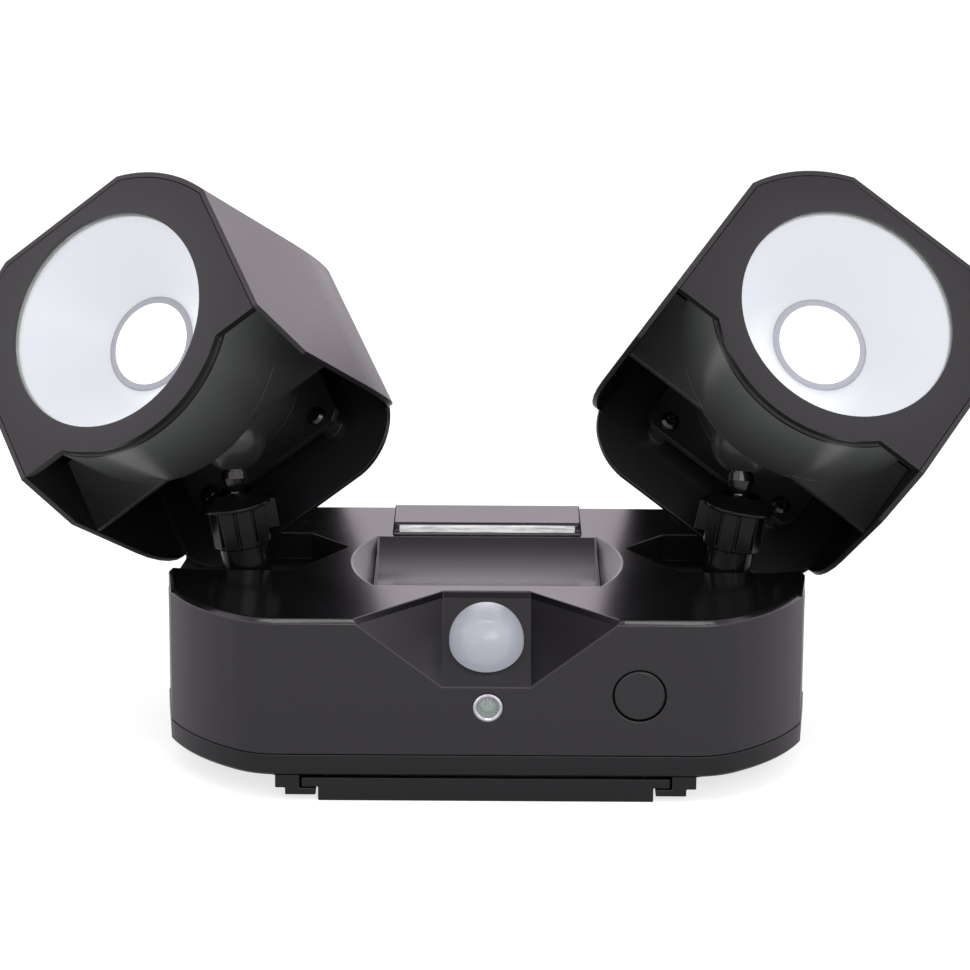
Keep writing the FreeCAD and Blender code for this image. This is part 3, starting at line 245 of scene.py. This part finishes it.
def housingPlastic(look):
    # glossy top, satin front, ends and sensor notch; painted light makes the trough paler; arm
    # wells duller, with painted shade
    material, tree, shader, place = newMaterial("housingPlastic", IOR=look["ior"])
    split = splitVector(tree, place)
    low = mathNode(tree, "LESS_THAN", split["Z"], look["topHeight"] - look["satinBelow"])
    front = mathNode(tree, "LESS_THAN", split["Y"], look["frontY"])
    back = mathNode(tree, "GREATER_THAN", split["Y"], look["backY"])
    across = mathNode(tree, "ABSOLUTE", split["X"], 0.0)
    ends = mathNode(tree, "GREATER_THAN", across, look["endX"])
    outside = mathNode(tree, "MAXIMUM", mathNode(tree, "MAXIMUM", front, back), ends)
    satin = mathNode(tree, "MULTIPLY", low, outside)
    masks = {}
    for word, (least, most) in look["regions"].items():
        highest = look["topHeight"] - look["regionsBelow"]
        masks[word] = insideBox(tree, split, least, (*most, highest))
    right = mathNode(tree, "GREATER_THAN", split["X"], 0.0)
    masks["facetRight"] = mathNode(tree, "MULTIPLY", masks["facets"], right)
    rough, level = look["gloss"], look["level"]
    duller = mathNode(tree, "MULTIPLY", satin, look["satin"] - rough)
    rough = mathNode(tree, "ADD", duller, rough)
    for word, change in look["roughness"].items():
        rough = mathNode(tree, "ADD", rough, mathNode(tree, "MULTIPLY", masks[word], change))
    # painted shade and reflection: the reflection level drops in the wells, on the panel and on
    # the right facet, and rises a little on both facets
    for word, change in look["paintedLightLevels"].items():
        level = mathNode(tree, "ADD", level, mathNode(tree, "MULTIPLY", masks[word], change))
    tree.links.new(level, shader.inputs["Specular IOR Level"])
    skin = addSkin(tree, shader, place, Grain=look["grain"], Change=look["change"])
    tree.links.new(rough, skin.inputs["Gloss"])
    dust = useGroup(tree, "fineDust", place, Amount=look["dust"])
    # painted light: the trough grows paler towards the front, and its ends are paler still
    paintedLightFade = fadeBetween(tree, split["Y"], *look["paintedLightFade"])
    paintedLightFade = mathNode(tree, "MULTIPLY", masks["trough"], paintedLightFade)
    colour = mixColours(tree, paintedLightFade, look["colour"], look["troughPaintedLight"])
    colour = mixColours(tree, masks["troughEnds"], colour, look["troughEndPaintedLight"])
    tree.links.new(colour, dust.inputs["Color"])
    tree.links.new(dust.outputs["Color"], shader.inputs["Base Color"])
    addRelief(tree, shader, skin.outputs["Height"], look["depth"])
    return material


def paintedGlowBody(side, chip, lens):
    # the lamp housing, with painted light: a faint glow painted around the chip and on the bowl
    # wall just behind the bezel
    look = {"colour": (0.006, 0.0056, 0.006), "gloss": 0.27, "grain": 1500.0, "change": 0.05,
            "depth": 0.000008, "dust": 0.02, "glow": (0.93, 1.0, 0.96), "power": 0.13,
            "reach": 0.06, "fall": 2.0, "wall": 0.06, "wallFall": 1.6, "behind": -0.0016,
            "deep": -0.034}
    material, tree, shader, place = newMaterial(
        "paintedGlowBody_" + side, IOR=1.5, Specular_IOR_Level=0.38)
    skin = addSkin(tree, shader, place, Grain=look["grain"], Gloss=look["gloss"],
                   Change=look["change"])
    dust = useGroup(tree, "fineDust", place, Color=(*look["colour"], 1.0), Amount=look["dust"])
    tree.links.new(dust.outputs["Color"], shader.inputs["Base Color"])
    shader.inputs["Emission Color"].default_value = (*look["glow"], 1.0)
    # painted glow that fades with the distance from the chip
    fade = useGroup(tree, "radialFade", place, Centre=chip, Radius=look["reach"])
    near = mathNode(tree, "SUBTRACT", 1.0, fade.outputs["Fade"], True)
    glow = mathNode(tree, "MULTIPLY", mathNode(tree, "POWER", near, look["fall"]), look["power"])
    # painted light along the lamp axis: strongest just behind the bezel, none at the neck
    axis = (lens - chip).normalized()
    along = addNode(tree, "VectorMath", {"operation": "DOT_PRODUCT"})
    tree.links.new(place, along.inputs[0])
    along.inputs[1].default_value = axis
    ahead = mathNode(tree, "SUBTRACT", along.outputs["Value"], lens.dot(axis))
    nearBezel = fadeBetween(tree, ahead, look["deep"], look["behind"])
    wall = mathNode(tree, "MULTIPLY", mathNode(tree, "LESS_THAN", ahead, look["behind"]),
                    mathNode(tree, "POWER", nearBezel, look["wallFall"]))
    glow = mathNode(tree, "ADD", glow, mathNode(tree, "MULTIPLY", wall, look["wall"]))
    tree.links.new(glow, shader.inputs["Emission Strength"])
    addRelief(tree, shader, skin.outputs["Height"], look["depth"])
    return material


def litRing(side, centre):
    # lilac holder whose inner edge is lit
    look = {"colour": (0.36, 0.35, 0.41), "glow": (0.93, 1.0, 0.78), "power": 1.1,
            "radius": 0.0128}
    material, tree, shader, place = newMaterial(
        "litRing_" + side, Base_Color=(*look["colour"], 1.0), Emission_Color=(*look["glow"], 1.0))
    addSkin(tree, shader, place, Grain=2600.0, Gloss=0.42, Change=0.06)
    fade = useGroup(tree, "radialFade", place, Centre=centre, Radius=look["radius"])
    inner = mathNode(tree, "LESS_THAN", fade.outputs["Fade"], 0.999)
    glow = mathNode(tree, "MULTIPLY", inner, look["power"])
    tree.links.new(glow, shader.inputs["Emission Strength"])
    return material


plasticLooks = {
    "black_gloss": {"colour": (0.0052, 0.0046, 0.0054), "gloss": 0.17, "change": 0.05,
                    "grain": 900.0, "depth": 0.000005, "dust": 0.012, "ior": 1.5},
    "black_satin": {"colour": (0.0058, 0.0052, 0.006), "gloss": 0.34, "change": 0.07,
                    "grain": 2600.0, "depth": 0.000014, "dust": 0.02, "ior": 1.46, "level": 0.36},
    "button_satin": {"colour": (0.0052, 0.0046, 0.0054), "gloss": 0.4, "change": 0.05,
                     "grain": 900.0, "depth": 0.000005, "dust": 0.012, "ior": 1.5},
    "arm_gloss": {"colour": (0.004, 0.0036, 0.004), "gloss": 0.19, "change": 0.05, "grain": 1200.0,
                  "depth": 0.000006, "dust": 0.012, "ior": 1.5, "level": 0.2},
    "hood_satin": {"colour": (0.006, 0.0052, 0.0064), "gloss": 0.32, "change": 0.05,
                   "grain": 2200.0, "depth": 0.000012, "dust": 0.02, "ior": 1.5},
    "seal_white": {"colour": (0.7, 0.7, 0.69), "gloss": 0.5, "change": 0.06, "grain": 1800.0,
                   "depth": 0.00001, "dust": 0.0, "ior": 1.42},
    "seal_rubber": {"colour": (0.012, 0.012, 0.012), "gloss": 0.68, "change": 0.1, "grain": 1800.0,
                    "depth": 0.00003, "dust": 0.1, "ior": 1.45},
    "switch_body": {"colour": (0.02, 0.02, 0.022), "gloss": 0.5, "change": 0.08, "grain": 3000.0,
                    "depth": 0.00001, "dust": 0.03, "ior": 1.47},
}


def clearLens():
    look = {"alpha": 0.07, "rough": 0.04, "scale": 700.0}
    material, tree, shader, place = newMaterial(
        "clearLens", Base_Color=(0.92, 0.96, 1.0, 1.0), Alpha=look["alpha"], IOR=1.49)
    addSkin(tree, shader, place, Grain=look["scale"], Gloss=look["rough"], Change=0.02)
    return material


def milkyDomePaintedGlow():
    look = {"colour": (0.2, 0.207, 0.233), "edge": (0.17, 0.176, 0.2), "glow": 1.32,
            "cell": 320.0, "cellRim": 3.0, "depth": 0.00008, "relief": 0.6}
    # the dome glows with its own colour: painted light that evens out its shading
    material, tree, shader, place = newMaterial(
        "milkyDomePaintedGlow", IOR=1.5, Subsurface_Weight=0.35, Subsurface_Scale=0.004,
        Emission_Strength=look["glow"], Coat_Weight=0.3, Coat_Roughness=0.1)
    skin = addSkin(tree, shader, place, Grain=1400.0, Gloss=0.34, Change=0.04)
    colour = mixColours(tree, skin.outputs["Patches"], look["colour"], look["edge"])
    feedColour(tree, colour, shader, "Base Color", "Emission Color")
    cells = addNode(tree, "TexVoronoi", {"feature": "DISTANCE_TO_EDGE"}, Scale=look["cell"])
    tree.links.new(place, cells.inputs["Vector"])
    facets = mathNode(tree, "MULTIPLY", cells.outputs["Distance"], look["cellRim"], True)
    addRelief(tree, shader, facets, look["depth"], look["relief"])
    return material


def stretchedNoise(tree, place, stretch, scale):
    mapping = addNode(tree, "Mapping", None, Scale=stretch)
    tree.links.new(place, mapping.inputs["Vector"])
    return noiseOf(tree, mapping.outputs["Vector"], scale, 3.0, 0.6)


def frostedStrip():
    # moulded flow lines run along the bar
    look = {"alpha": 0.55, "glow": 0.3, "clear": (1.0, 0.99, 1.0), "streak": (0.2, 0.19, 0.21),
            "stretch": (0.12, 1.0, 1.0), "scale": 900.0, "from": 0.45, "to": 0.75}
    # the lens also glows with its own colour, flow lines included: painted light
    material, tree, shader, place = newMaterial(
        "frostedStrip", IOR=1.49, Alpha=look["alpha"], Emission_Strength=look["glow"],
        Coat_Weight=0.3, Coat_Roughness=0.05)
    addSkin(tree, shader, place, Grain=900.0, Gloss=0.2, Change=0.08)
    lines = stretchedNoise(tree, place, look["stretch"], look["scale"])
    streaks = fadeBetween(tree, lines, look["from"], look["to"])
    colour = mixColours(tree, streaks, look["clear"], look["streak"])
    feedColour(tree, colour, shader, "Base Color", "Emission Color")
    return material


def litBowl(side, centre):
    # the pale bowl, washed evenly with the light of the lit disc
    look = {"near": (0.53, 0.55, 0.585), "far": (0.64, 0.665, 0.705), "reach": 0.046,
            "colour": (0.12, 0.12, 0.125)}
    material, tree, shader, place = newMaterial(
        "litBowl_" + side, IOR=1.45, Emission_Strength=1.0, Base_Color=(*look["colour"], 1.0))
    addSkin(tree, shader, place, Grain=1200.0, Gloss=0.38, Change=0.05)
    fade = useGroup(tree, "radialFade", place, Centre=centre, Radius=look["reach"])
    colour = mixColours(tree, fade.outputs["Fade"], look["near"], look["far"])
    feedColour(tree, colour, shader, "Emission Color")
    return material


def litDisc(side, centre):
    look = {"middle": (1.0, 1.0, 1.0), "rim": (0.66, 0.76, 0.5), "rimFall": 7.0, "power": 1.5,
            "radius": 0.0124}
    material, tree, shader, place = newMaterial(
        "litDisc_" + side, Roughness=0.5, Emission_Strength=look["power"])
    fade = useGroup(tree, "radialFade", place, Centre=centre, Radius=look["radius"])
    rim = mathNode(tree, "POWER", fade.outputs["Fade"], look["rimFall"])
    colour = mixColours(tree, rim, look["middle"], look["rim"])
    feedColour(tree, colour, shader, "Base Color", "Emission Color")
    return material


def bandsOf(tree, place, scale):
    wave = addNode(tree, "TexWave", {"bands_direction": "X"}, Scale=scale)
    tree.links.new(place, wave.inputs["Vector"])
    return wave.outputs["Fac"]


def stripLight():
    # a row of light sources, brighter and dimmer along the bar
    look = {"power": 0.9, "scale": 55.0, "between": (0.75, 0.74, 0.7), "source": (1.0, 1.0, 0.98)}
    material, tree, shader, place = newMaterial(
        "stripLight", Roughness=0.5, Emission_Strength=look["power"])
    dots = bandsOf(tree, place, look["scale"])
    colour = mixColours(tree, dots, look["between"], look["source"])
    feedColour(tree, colour, shader, "Base Color", "Emission Color")
    return material


brushScale = 900.0
brushDepth = 0.000008


def metalFinish(name, look):
    material, tree, shader, place = newMaterial(name, Metallic=1.0)
    addSkin(tree, shader, place, Grain=look["grain"], Gloss=look["gloss"],
            Change=look["change"])
    lines = stretchedNoise(tree, place, look["stretch"], brushScale)
    feedColour(tree, mixColours(tree, lines, look["dark"], look["light"]), shader, "Base Color")
    addRelief(tree, shader, lines, brushDepth)
    return material


metalLooks = {
    "screw_steel": {"dark": (0.3, 0.3, 0.3), "light": (0.55, 0.55, 0.54), "gloss": 0.32,
                    "change": 0.1, "grain": 1600.0, "stretch": (1.0, 1.0, 6.0)},
    "screw_black": {"dark": (0.02, 0.02, 0.022), "light": (0.07, 0.07, 0.075), "gloss": 0.26,
                    "change": 0.08, "grain": 1600.0, "stretch": (1.0, 1.0, 4.0)},
    "contact_metal": {"dark": (0.5, 0.5, 0.47), "light": (0.78, 0.77, 0.73), "gloss": 0.22,
                      "change": 0.1, "grain": 1400.0, "stretch": (1.0, 8.0, 1.0)},
    "eye_ring": {"dark": (0.4, 0.41, 0.42), "light": (0.62, 0.63, 0.65), "gloss": 0.22,
                 "change": 0.05, "grain": 1200.0, "stretch": (1.0, 1.0, 1.0)},
    "sensor_can": {"dark": (0.5, 0.5, 0.5), "light": (0.75, 0.75, 0.74), "gloss": 0.3,
                   "change": 0.08, "grain": 1500.0, "stretch": (1.0, 1.0, 4.0)},
}


trackDepth = 0.00004


def circuitBoard(name, look):
    material, tree, shader, place = newMaterial(name, Coat_Weight=0.4, Coat_Roughness=0.2)
    addSkin(tree, shader, place, Grain=1800.0, Gloss=0.42, Change=0.08)
    bricks = addNode(tree, "TexBrick", None, Scale=look["scale"], Mortar_Size=0.06,
                     Color1=(*look["mask"], 1.0), Color2=(*look["deep"], 1.0),
                     Mortar=(*look["track"], 1.0))
    tree.links.new(place, bricks.inputs["Vector"])
    feedColour(tree, bricks.outputs["Color"], shader, "Base Color")
    addRelief(tree, shader, bricks.outputs["Fac"], trackDepth, 0.5)
    return material


boardLooks = {
    "board_green": {"mask": (0.02, 0.12, 0.05), "deep": (0.015, 0.1, 0.04),
                    "track": (0.05, 0.2, 0.09), "scale": 130.0},
    "board_white": {"mask": (0.78, 0.78, 0.76), "deep": (0.74, 0.74, 0.73),
                    "track": (0.66, 0.66, 0.64), "scale": 110.0},
}


def cellWrap():
    # printed sleeve with plain bands
    look = {"sleeve": (0.03, 0.034, 0.04), "band": (0.42, 0.3, 0.12), "scale": 4.1,
            "bandFrom": 0.7}
    material, tree, shader, place = newMaterial("cellWrap", Metallic=0.4, Coat_Weight=0.5)
    addSkin(tree, shader, place, Grain=1200.0, Gloss=0.3, Change=0.06)
    bands = mathNode(tree, "GREATER_THAN", bandsOf(tree, place, look["scale"]), look["bandFrom"])
    feedColour(tree, mixColours(tree, bands, look["sleeve"], look["band"]), shader, "Base Color")
    return material


def eyeGlass():
    material, tree, shader, place = newMaterial(
        "eyeGlass", Base_Color=(0.85, 0.95, 0.9, 1.0), Alpha=0.2, IOR=1.5)
    addSkin(tree, shader, place, Grain=700.0, Gloss=0.06, Change=0.02)
    return material


def eyeCell(centre):
    # light sensitive disc: silvery pattern above, its silver a painted reflection; green track
    # below
    look = {"disc": (0.5, 0.51, 0.5), "line": (0.07, 0.08, 0.08), "track": (0.012, 0.25, 0.14),
            "scale": 1500.0, "lineShare": 0.16, "edge": 0.0005}
    material, tree, shader, place = newMaterial("eyeCell", Coat_Weight=0.6, Coat_Roughness=0.1)
    addSkin(tree, shader, place, Grain=1600.0, Gloss=0.36, Change=0.06)
    cells = addNode(tree, "TexVoronoi", {"feature": "DISTANCE_TO_EDGE"}, Scale=look["scale"])
    tree.links.new(place, cells.inputs["Vector"])
    lines = mathNode(tree, "LESS_THAN", cells.outputs["Distance"], look["lineShare"])
    height = splitVector(tree, place)["Z"]
    below = mathNode(tree, "LESS_THAN", height, centre[2] - look["edge"])
    upper = mixColours(tree, lines, look["disc"], look["line"])
    feedColour(tree, mixColours(tree, below, upper, look["track"]), shader, "Base Color")
    return material


def middleOf(name):
    low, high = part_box(name)
    return (Vector(low) + Vector(high)) / 2


finishes = {slot: mouldedPlastic(slot, look) for slot, look in plasticLooks.items()}
finishes.update({slot: metalFinish(slot, look) for slot, look in metalLooks.items()})
finishes.update({slot: circuitBoard(slot, look) for slot, look in boardLooks.items()})
finishes["lens_clear"] = clearLens()
finishes["dome_milky"] = milkyDomePaintedGlow()
finishes["strip_clear"] = frostedStrip()
finishes["cell_wrap"] = cellWrap()
finishes["eye_glass"] = eyeGlass()
finishes["eye_cell"] = eyeCell(middleOf("photocell"))

# pieces whose finish isn't that of their slot
finishes["strip_led_bar"] = stripLight()
finishes["mode_button"] = finishes["button_satin"]
for side in sides:
    chip = middleOf("led_chip_" + side)
    finishes["reflector_" + side] = litBowl(side, chip)
    finishes["led_chip_" + side] = litDisc(side, chip)
    finishes["led_ring_" + side] = litRing(side, chip)
    finishes["lamp_body_" + side] = paintedGlowBody(side, chip, middleOf("lens_" + side))
    finishes["arm_post_" + side] = finishes["arm_gloss"]
    finishes["locking_collar_" + side] = finishes["arm_gloss"]
    finishes["hood_" + side] = finishes["hood_satin"]

barAbove = 0.0008  # the underside of the light bar's lens over the top of the housing
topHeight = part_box("strip_lens")[0][2] - barAbove
# regions are boxes, least and most, whose x holds on both sides and whose top is the housing's
finishes["base_housing"] = housingPlastic({
    **plasticLooks["black_gloss"], "level": 0.5, "satin": 0.4, "topHeight": topHeight,
    "satinBelow": 0.0015, "regionsBelow": 0.00015, "frontY": -0.028, "backY": 0.055, "endX": 0.09,
    # the trough's paler colours are painted light
    "troughPaintedLight": (0.13, 0.123, 0.132), "troughEndPaintedLight": (0.15, 0.143, 0.153),
    "paintedLightFade": (0.026, -0.024),
    "regions": {
        "trough": ((-1.0, -0.0254, 0.04), (0.0414, 0.0254)),
        "troughEnds": ((0.0334, -0.0254, 0.04), (0.0414, 0.0254)),
        "wells": ((0.0424, -0.0112, 0.045), (0.097, 0.0288)),
        "panel": ((-1.0, -0.0589, 0.0356), (0.0128, -0.028)),
        "facets": ((0.013, -0.0589, 0.0356), (0.04, -0.028))},
    "roughness": {"trough": 0.08, "troughEnds": 0.24, "wells": 0.2},
    # reflection levels that paint shade in the wells, on the panel and on the right facet, and a
    # brighter reflection on the facets
    "paintedLightLevels": {"wells": -0.4, "panel": -0.08, "facets": 0.08, "facetRight": -0.4}})
slotOf = {entry["node"]: entry["material_slot"] for entry in record["subparts"]}


def finishOf(name):
    return finishes.get(name) or finishes[slotOf[name]]


def dressNode(name):
    data = nodes[name].data
    if not data.materials:
        data.materials.append(finishOf(name))
    for index in range(len(data.materials)):
        data.materials[index] = finishOf(name)


for name in nodes:
    dressNode(name)
print("finishes made:", len(finishes))


# moulded edges: a copy of a piece whose sharp edges are rounded

edgeLook = {
    "base_housing": {"width": 0.00035, "turn": 14},
    "back_cover": {"width": 0.0003, "turn": 20},
    "mounting_bracket": {"width": 0.00025, "turn": 30},
    "mode_button": {"width": 0.0002, "turn": 30},
    "hood": {"width": 0.00018, "turn": 13},
    "lamp_body": {"width": 0.00012, "turn": 22, "keepTriangles": True},
    "locking_collar": {"width": 0.0002, "turn": 30},
    "arm_post": {"width": 0.0002, "turn": 30},
}
smoothTurn = 50  # edges up to this many degrees are shaded smooth
flatWithin = 0.4  # and faces within this many are one
mergeWithin = 0.000002


def mergedCopy(name, keepTriangles=False):
    shape = bmesh.new()
    shape.from_mesh(nodes[name].data)
    bmesh.ops.remove_doubles(shape, verts=shape.verts, dist=mergeWithin)
    if not keepTriangles:
        bmesh.ops.dissolve_limit(shape, angle_limit=math.radians(flatWithin), verts=shape.verts,
                                 edges=shape.edges, use_dissolve_boundaries=False)
    return shape


def makePiece(name, shape, body, finish, replaced=()):
    mesh = bpy.data.meshes.new(name)
    shape.to_mesh(mesh)
    shape.free()
    mesh.materials.append(finish)
    piece = bpy.data.objects.new(name, mesh)
    bpy.context.scene.collection.objects.link(piece)
    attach(piece, body)
    if replaced:
        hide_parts(*replaced)
    return piece


def shadeBy(shape, turn):
    for face in shape.faces:
        face.smooth = True
    for edge in shape.edges:
        if len(edge.link_faces) == 2:
            edge.smooth = edge.calc_face_angle(0.0) < math.radians(turn)


def bodyOf(name):
    for body, members in record["behaviour"]["bodies"].items():
        if name in members:
            return body
    raise KeyError(name)


def softenEdges(name, look):
    shape = mergedCopy(name, look.get("keepTriangles", False))
    original = shape.copy()
    turn = math.radians(look["turn"])
    sharp = [edge for edge in shape.edges
             if len(edge.link_faces) == 2 and edge.calc_face_angle(0.0) > turn]
    bmesh.ops.bevel(shape, geom=sharp, offset=look["width"], offset_type="OFFSET", affect="EDGES",
                    segments=2, profile=0.5, material=-1, clamp_overlap=False)
    # a bevel corner that shot out of a thin tip goes back to the surface
    surface = BVHTree.FromBMesh(original)
    for vert in shape.verts:
        spot, _, _, gap = surface.find_nearest(vert.co)
        if gap > look["width"]:
            vert.co = spot
    original.free()
    shadeBy(shape, smoothTurn)
    piece = makePiece(name + "_shell", shape, bodyOf(name), finishOf(name), (name,))
    shading = piece.modifiers.new("evenShading", "WEIGHTED_NORMAL")
    shading.keep_sharp = True


for name in nodes:
    look = edgeLook.get(name) or edgeLook.get(name.rsplit("_", 1)[0])
    if look:
        softenEdges(name, look)
print("edges rounded")


# raised L and R beside the arms

def makeMark(word, look):
    curve = bpy.data.curves.new("mark" + word, "FONT")
    curve.body = word
    curve.align_x = "CENTER"
    curve.size = look["tall"]
    curve.extrude = look["rise"]
    holder = bpy.data.objects.new("mark" + word, curve)
    bpy.context.scene.collection.objects.link(holder)
    bpy.context.view_layer.update()
    mesh = bpy.data.meshes.new_from_object(holder)
    bpy.data.objects.remove(holder)
    mesh.transform(Matrix.Translation(look["spot"]))
    shape = bmesh.new()
    shape.from_mesh(mesh)
    makePiece("mark_" + word, shape, "base", finishes["black_gloss"])


markLooks = {
    "L": {"spot": (-0.0585, 0.0405, topHeight), "tall": 0.0105, "rise": 0.00012},
    "R": {"spot": (0.0588, 0.0425, topHeight), "tall": 0.0105, "rise": 0.00012},
}
for word, look in markLooks.items():
    makeMark(word, look)
print("marks made")


# stage

white = (1.0, 1.0, 1.0)
mirrorTint = (1.0, 0.905, 1.0)  # the plastic's mirror images are a little purple


def rayKinds(tree):
    # 1 for rays seen by the camera, also through glass, and 1 for mirrored rays
    path = tree.nodes.new("ShaderNodeLightPath").outputs
    seen = mathNode(tree, "MAXIMUM", path["Is Camera Ray"], path["Is Transmission Ray"])
    return seen, path["Is Glossy Ray"]


def paleFloor():
    look = {"grey": 0.5, "seen": 0.72, "mirrored": 0.41}
    material, tree, output = emptyMaterial("paleFloor")
    seen, mirrored = rayKinds(tree)
    plain = addNode(tree, "BsdfDiffuse", None, Color=(*[look["grey"]] * 3, 1.0))
    glow = tree.nodes.new("ShaderNodeEmission")
    power = mathNode(tree, "ADD", mathNode(tree, "MULTIPLY", seen, look["seen"]),
                     mathNode(tree, "MULTIPLY", mirrored, look["mirrored"]))
    tree.links.new(power, glow.inputs["Strength"])
    tree.links.new(mixColours(tree, seen, mirrorTint, white), glow.inputs["Color"])
    both = tree.nodes.new("ShaderNodeAddShader")
    tree.links.new(plain.outputs["BSDF"], both.inputs[0])
    tree.links.new(glow.outputs["Emission"], both.inputs[1])
    tree.links.new(both.outputs["Shader"], output.inputs["Surface"])
    return material


def makeFloor():
    halfWidth = 6.0
    shape = bmesh.new()
    bmesh.ops.create_grid(shape, x_segments=1, y_segments=1, size=halfWidth)
    mesh = bpy.data.meshes.new("floor")
    shape.to_mesh(mesh)
    shape.free()
    mesh.materials.append(paleFloor())
    floor = bpy.data.objects.new("floor", mesh)
    bpy.context.scene.collection.objects.link(floor)


def makeWorld():
    # what the plastic mirrors: a bright band low in the sky, darker from there up;
    # each step is the height of a direction, from 0 to 1, and how bright it is
    look = {"fill": 0.85, "seen": 1.1, "mirrored": 2.0,
            "ends": (0.86, 0.21),
            "steps": ((0.2, 0.8), (0.27, 0.42), (0.288, 0.4), (0.31, 1.2), (0.33, 1.2),
                      (0.38, 0.9), (0.7, 0.84), (0.8, 0.66), (0.9, 0.46))}
    world = bpy.data.worlds.new("studio")
    world.use_nodes = True
    tree = world.node_tree
    tree.nodes.clear()
    output = tree.nodes.new("ShaderNodeOutputWorld")
    seen, glossy = rayKinds(tree)
    air = tree.nodes.new("ShaderNodeBackground")
    direction = tree.nodes.new("ShaderNodeTexCoord").outputs["Generated"]
    ramp = tree.nodes.new("ShaderNodeValToRGB")
    tree.links.new(splitVector(tree, direction)["Z"], ramp.inputs["Fac"])
    stops = ramp.color_ramp.elements
    for stop, value in zip(stops, look["ends"]):
        stop.color = (value, value, value, 1.0)
    for height, value in look["steps"]:
        stops.new(height).color = (value, value, value, 1.0)
    mirrored = mathNode(tree, "MULTIPLY", ramp.outputs["Color"], look["mirrored"])
    power = look["fill"]
    for mask, value in ((glossy, mirrored), (seen, look["seen"])):
        change = mathNode(tree, "SUBTRACT", value, look["fill"])
        power = mathNode(tree, "ADD", power, mathNode(tree, "MULTIPLY", mask, change))
    tree.links.new(power, air.inputs["Strength"])
    tree.links.new(mixColours(tree, glossy, white, mirrorTint), air.inputs["Color"])
    tree.links.new(air.outputs["Background"], output.inputs["Surface"])
    bpy.context.scene.world = world


def makeLamp(name, look):
    light = bpy.data.lights.new(name, "AREA")
    light.shape = "RECTANGLE"
    light.size, light.size_y = look["size"]
    light.energy = look["power"]
    lamp = bpy.data.objects.new(name, light)
    lamp.location = look["place"]
    aim = Vector(look["aim"]) - Vector(look["place"])
    lamp.rotation_euler = aim.to_track_quat("-Z", "Y").to_euler()
    bpy.context.scene.collection.objects.link(lamp)


def makeFlag(name, corners, behind):
    # black card that only mirrors see; it darkens the ends of the glossy top
    material, tree, output = emptyMaterial(name)
    dark = addNode(tree, "BsdfDiffuse", None, Color=(0.0, 0.0, 0.0, 1.0))
    tree.links.new(dark.outputs["BSDF"], output.inputs["Surface"])
    shape = bmesh.new()
    shape.faces.new([shape.verts.new((x, behind, z)) for x, z in corners])
    mesh = bpy.data.meshes.new(name)
    shape.to_mesh(mesh)
    shape.free()
    mesh.materials.append(material)
    flag = bpy.data.objects.new(name, mesh)
    bpy.context.scene.collection.objects.link(flag)
    flag.visible_camera = False
    flag.visible_diffuse = False
    flag.visible_shadow = False
    flag.visible_transmission = False


flagBehind = 0.15
flagLooks = {
    "leftFlag": ((-0.057, 0.05), (-0.0495, 0.084), (-0.0365, 0.122), (-0.0275, 0.16),
                 (-0.25, 0.16), (-0.25, 0.05)),
    "rightFlag": ((0.0535, 0.05), (0.25, 0.05), (0.25, 0.16), (0.033, 0.16), (0.0395, 0.122),
                  (0.0485, 0.084)),
}
lampLooks = {
    "eyeSpark": {"place": (-0.05, -1.0, 0.47), "aim": (0, -0.04, 0.05), "size": (0.1, 0.1),
                 "power": 0.35},
    "bevelStrip": {"place": (0.0, -0.42, 1.3), "aim": (0, -0.05, 0.05), "size": (1.1, 0.1),
                   "power": 2.6},
    "frontSoftbox": {"place": (0.5, -1.3, 0.8), "aim": (0, 0, 0.08), "size": (0.8, 0.6),
                     "power": 5.0},
}


def makeCamera():
    # the photograph's own view: distance, tilt and framing
    look = {"place": (0.0, -1.07859, 0.38553), "tilt": 15.817, "focalPixels": 3700.7,
            "frame": 970, "middle": (487.4, 485.0), "roll": 0.005784, "sensor": 36.0}
    data = bpy.data.cameras.new("photoView")
    data.sensor_width = look["sensor"]
    data.lens = look["focalPixels"] / look["frame"] * data.sensor_width
    data.shift_x = (look["frame"] / 2 - look["middle"][0]) / look["frame"]
    data.shift_y = (look["middle"][1] - look["frame"] / 2) / look["frame"]
    data.clip_start = 0.05
    camera = bpy.data.objects.new("photoView", data)
    upright = Matrix.Rotation(math.radians(90 - look["tilt"]), 4, "X")
    turn = Matrix.Rotation(look["roll"], 4, "Z")
    camera.matrix_world = Matrix.Translation(look["place"]) @ upright @ turn
    bpy.context.scene.collection.objects.link(camera)
    bpy.context.scene.camera = camera


makeFloor()
makeWorld()
for name, corners in flagLooks.items():
    makeFlag(name, corners, flagBehind)
for name, look in lampLooks.items():
    makeLamp(name, look)
makeCamera()
bpy.context.scene.view_settings.view_transform = "Standard"
print("stage set")

bpy.context.view_layer.update()
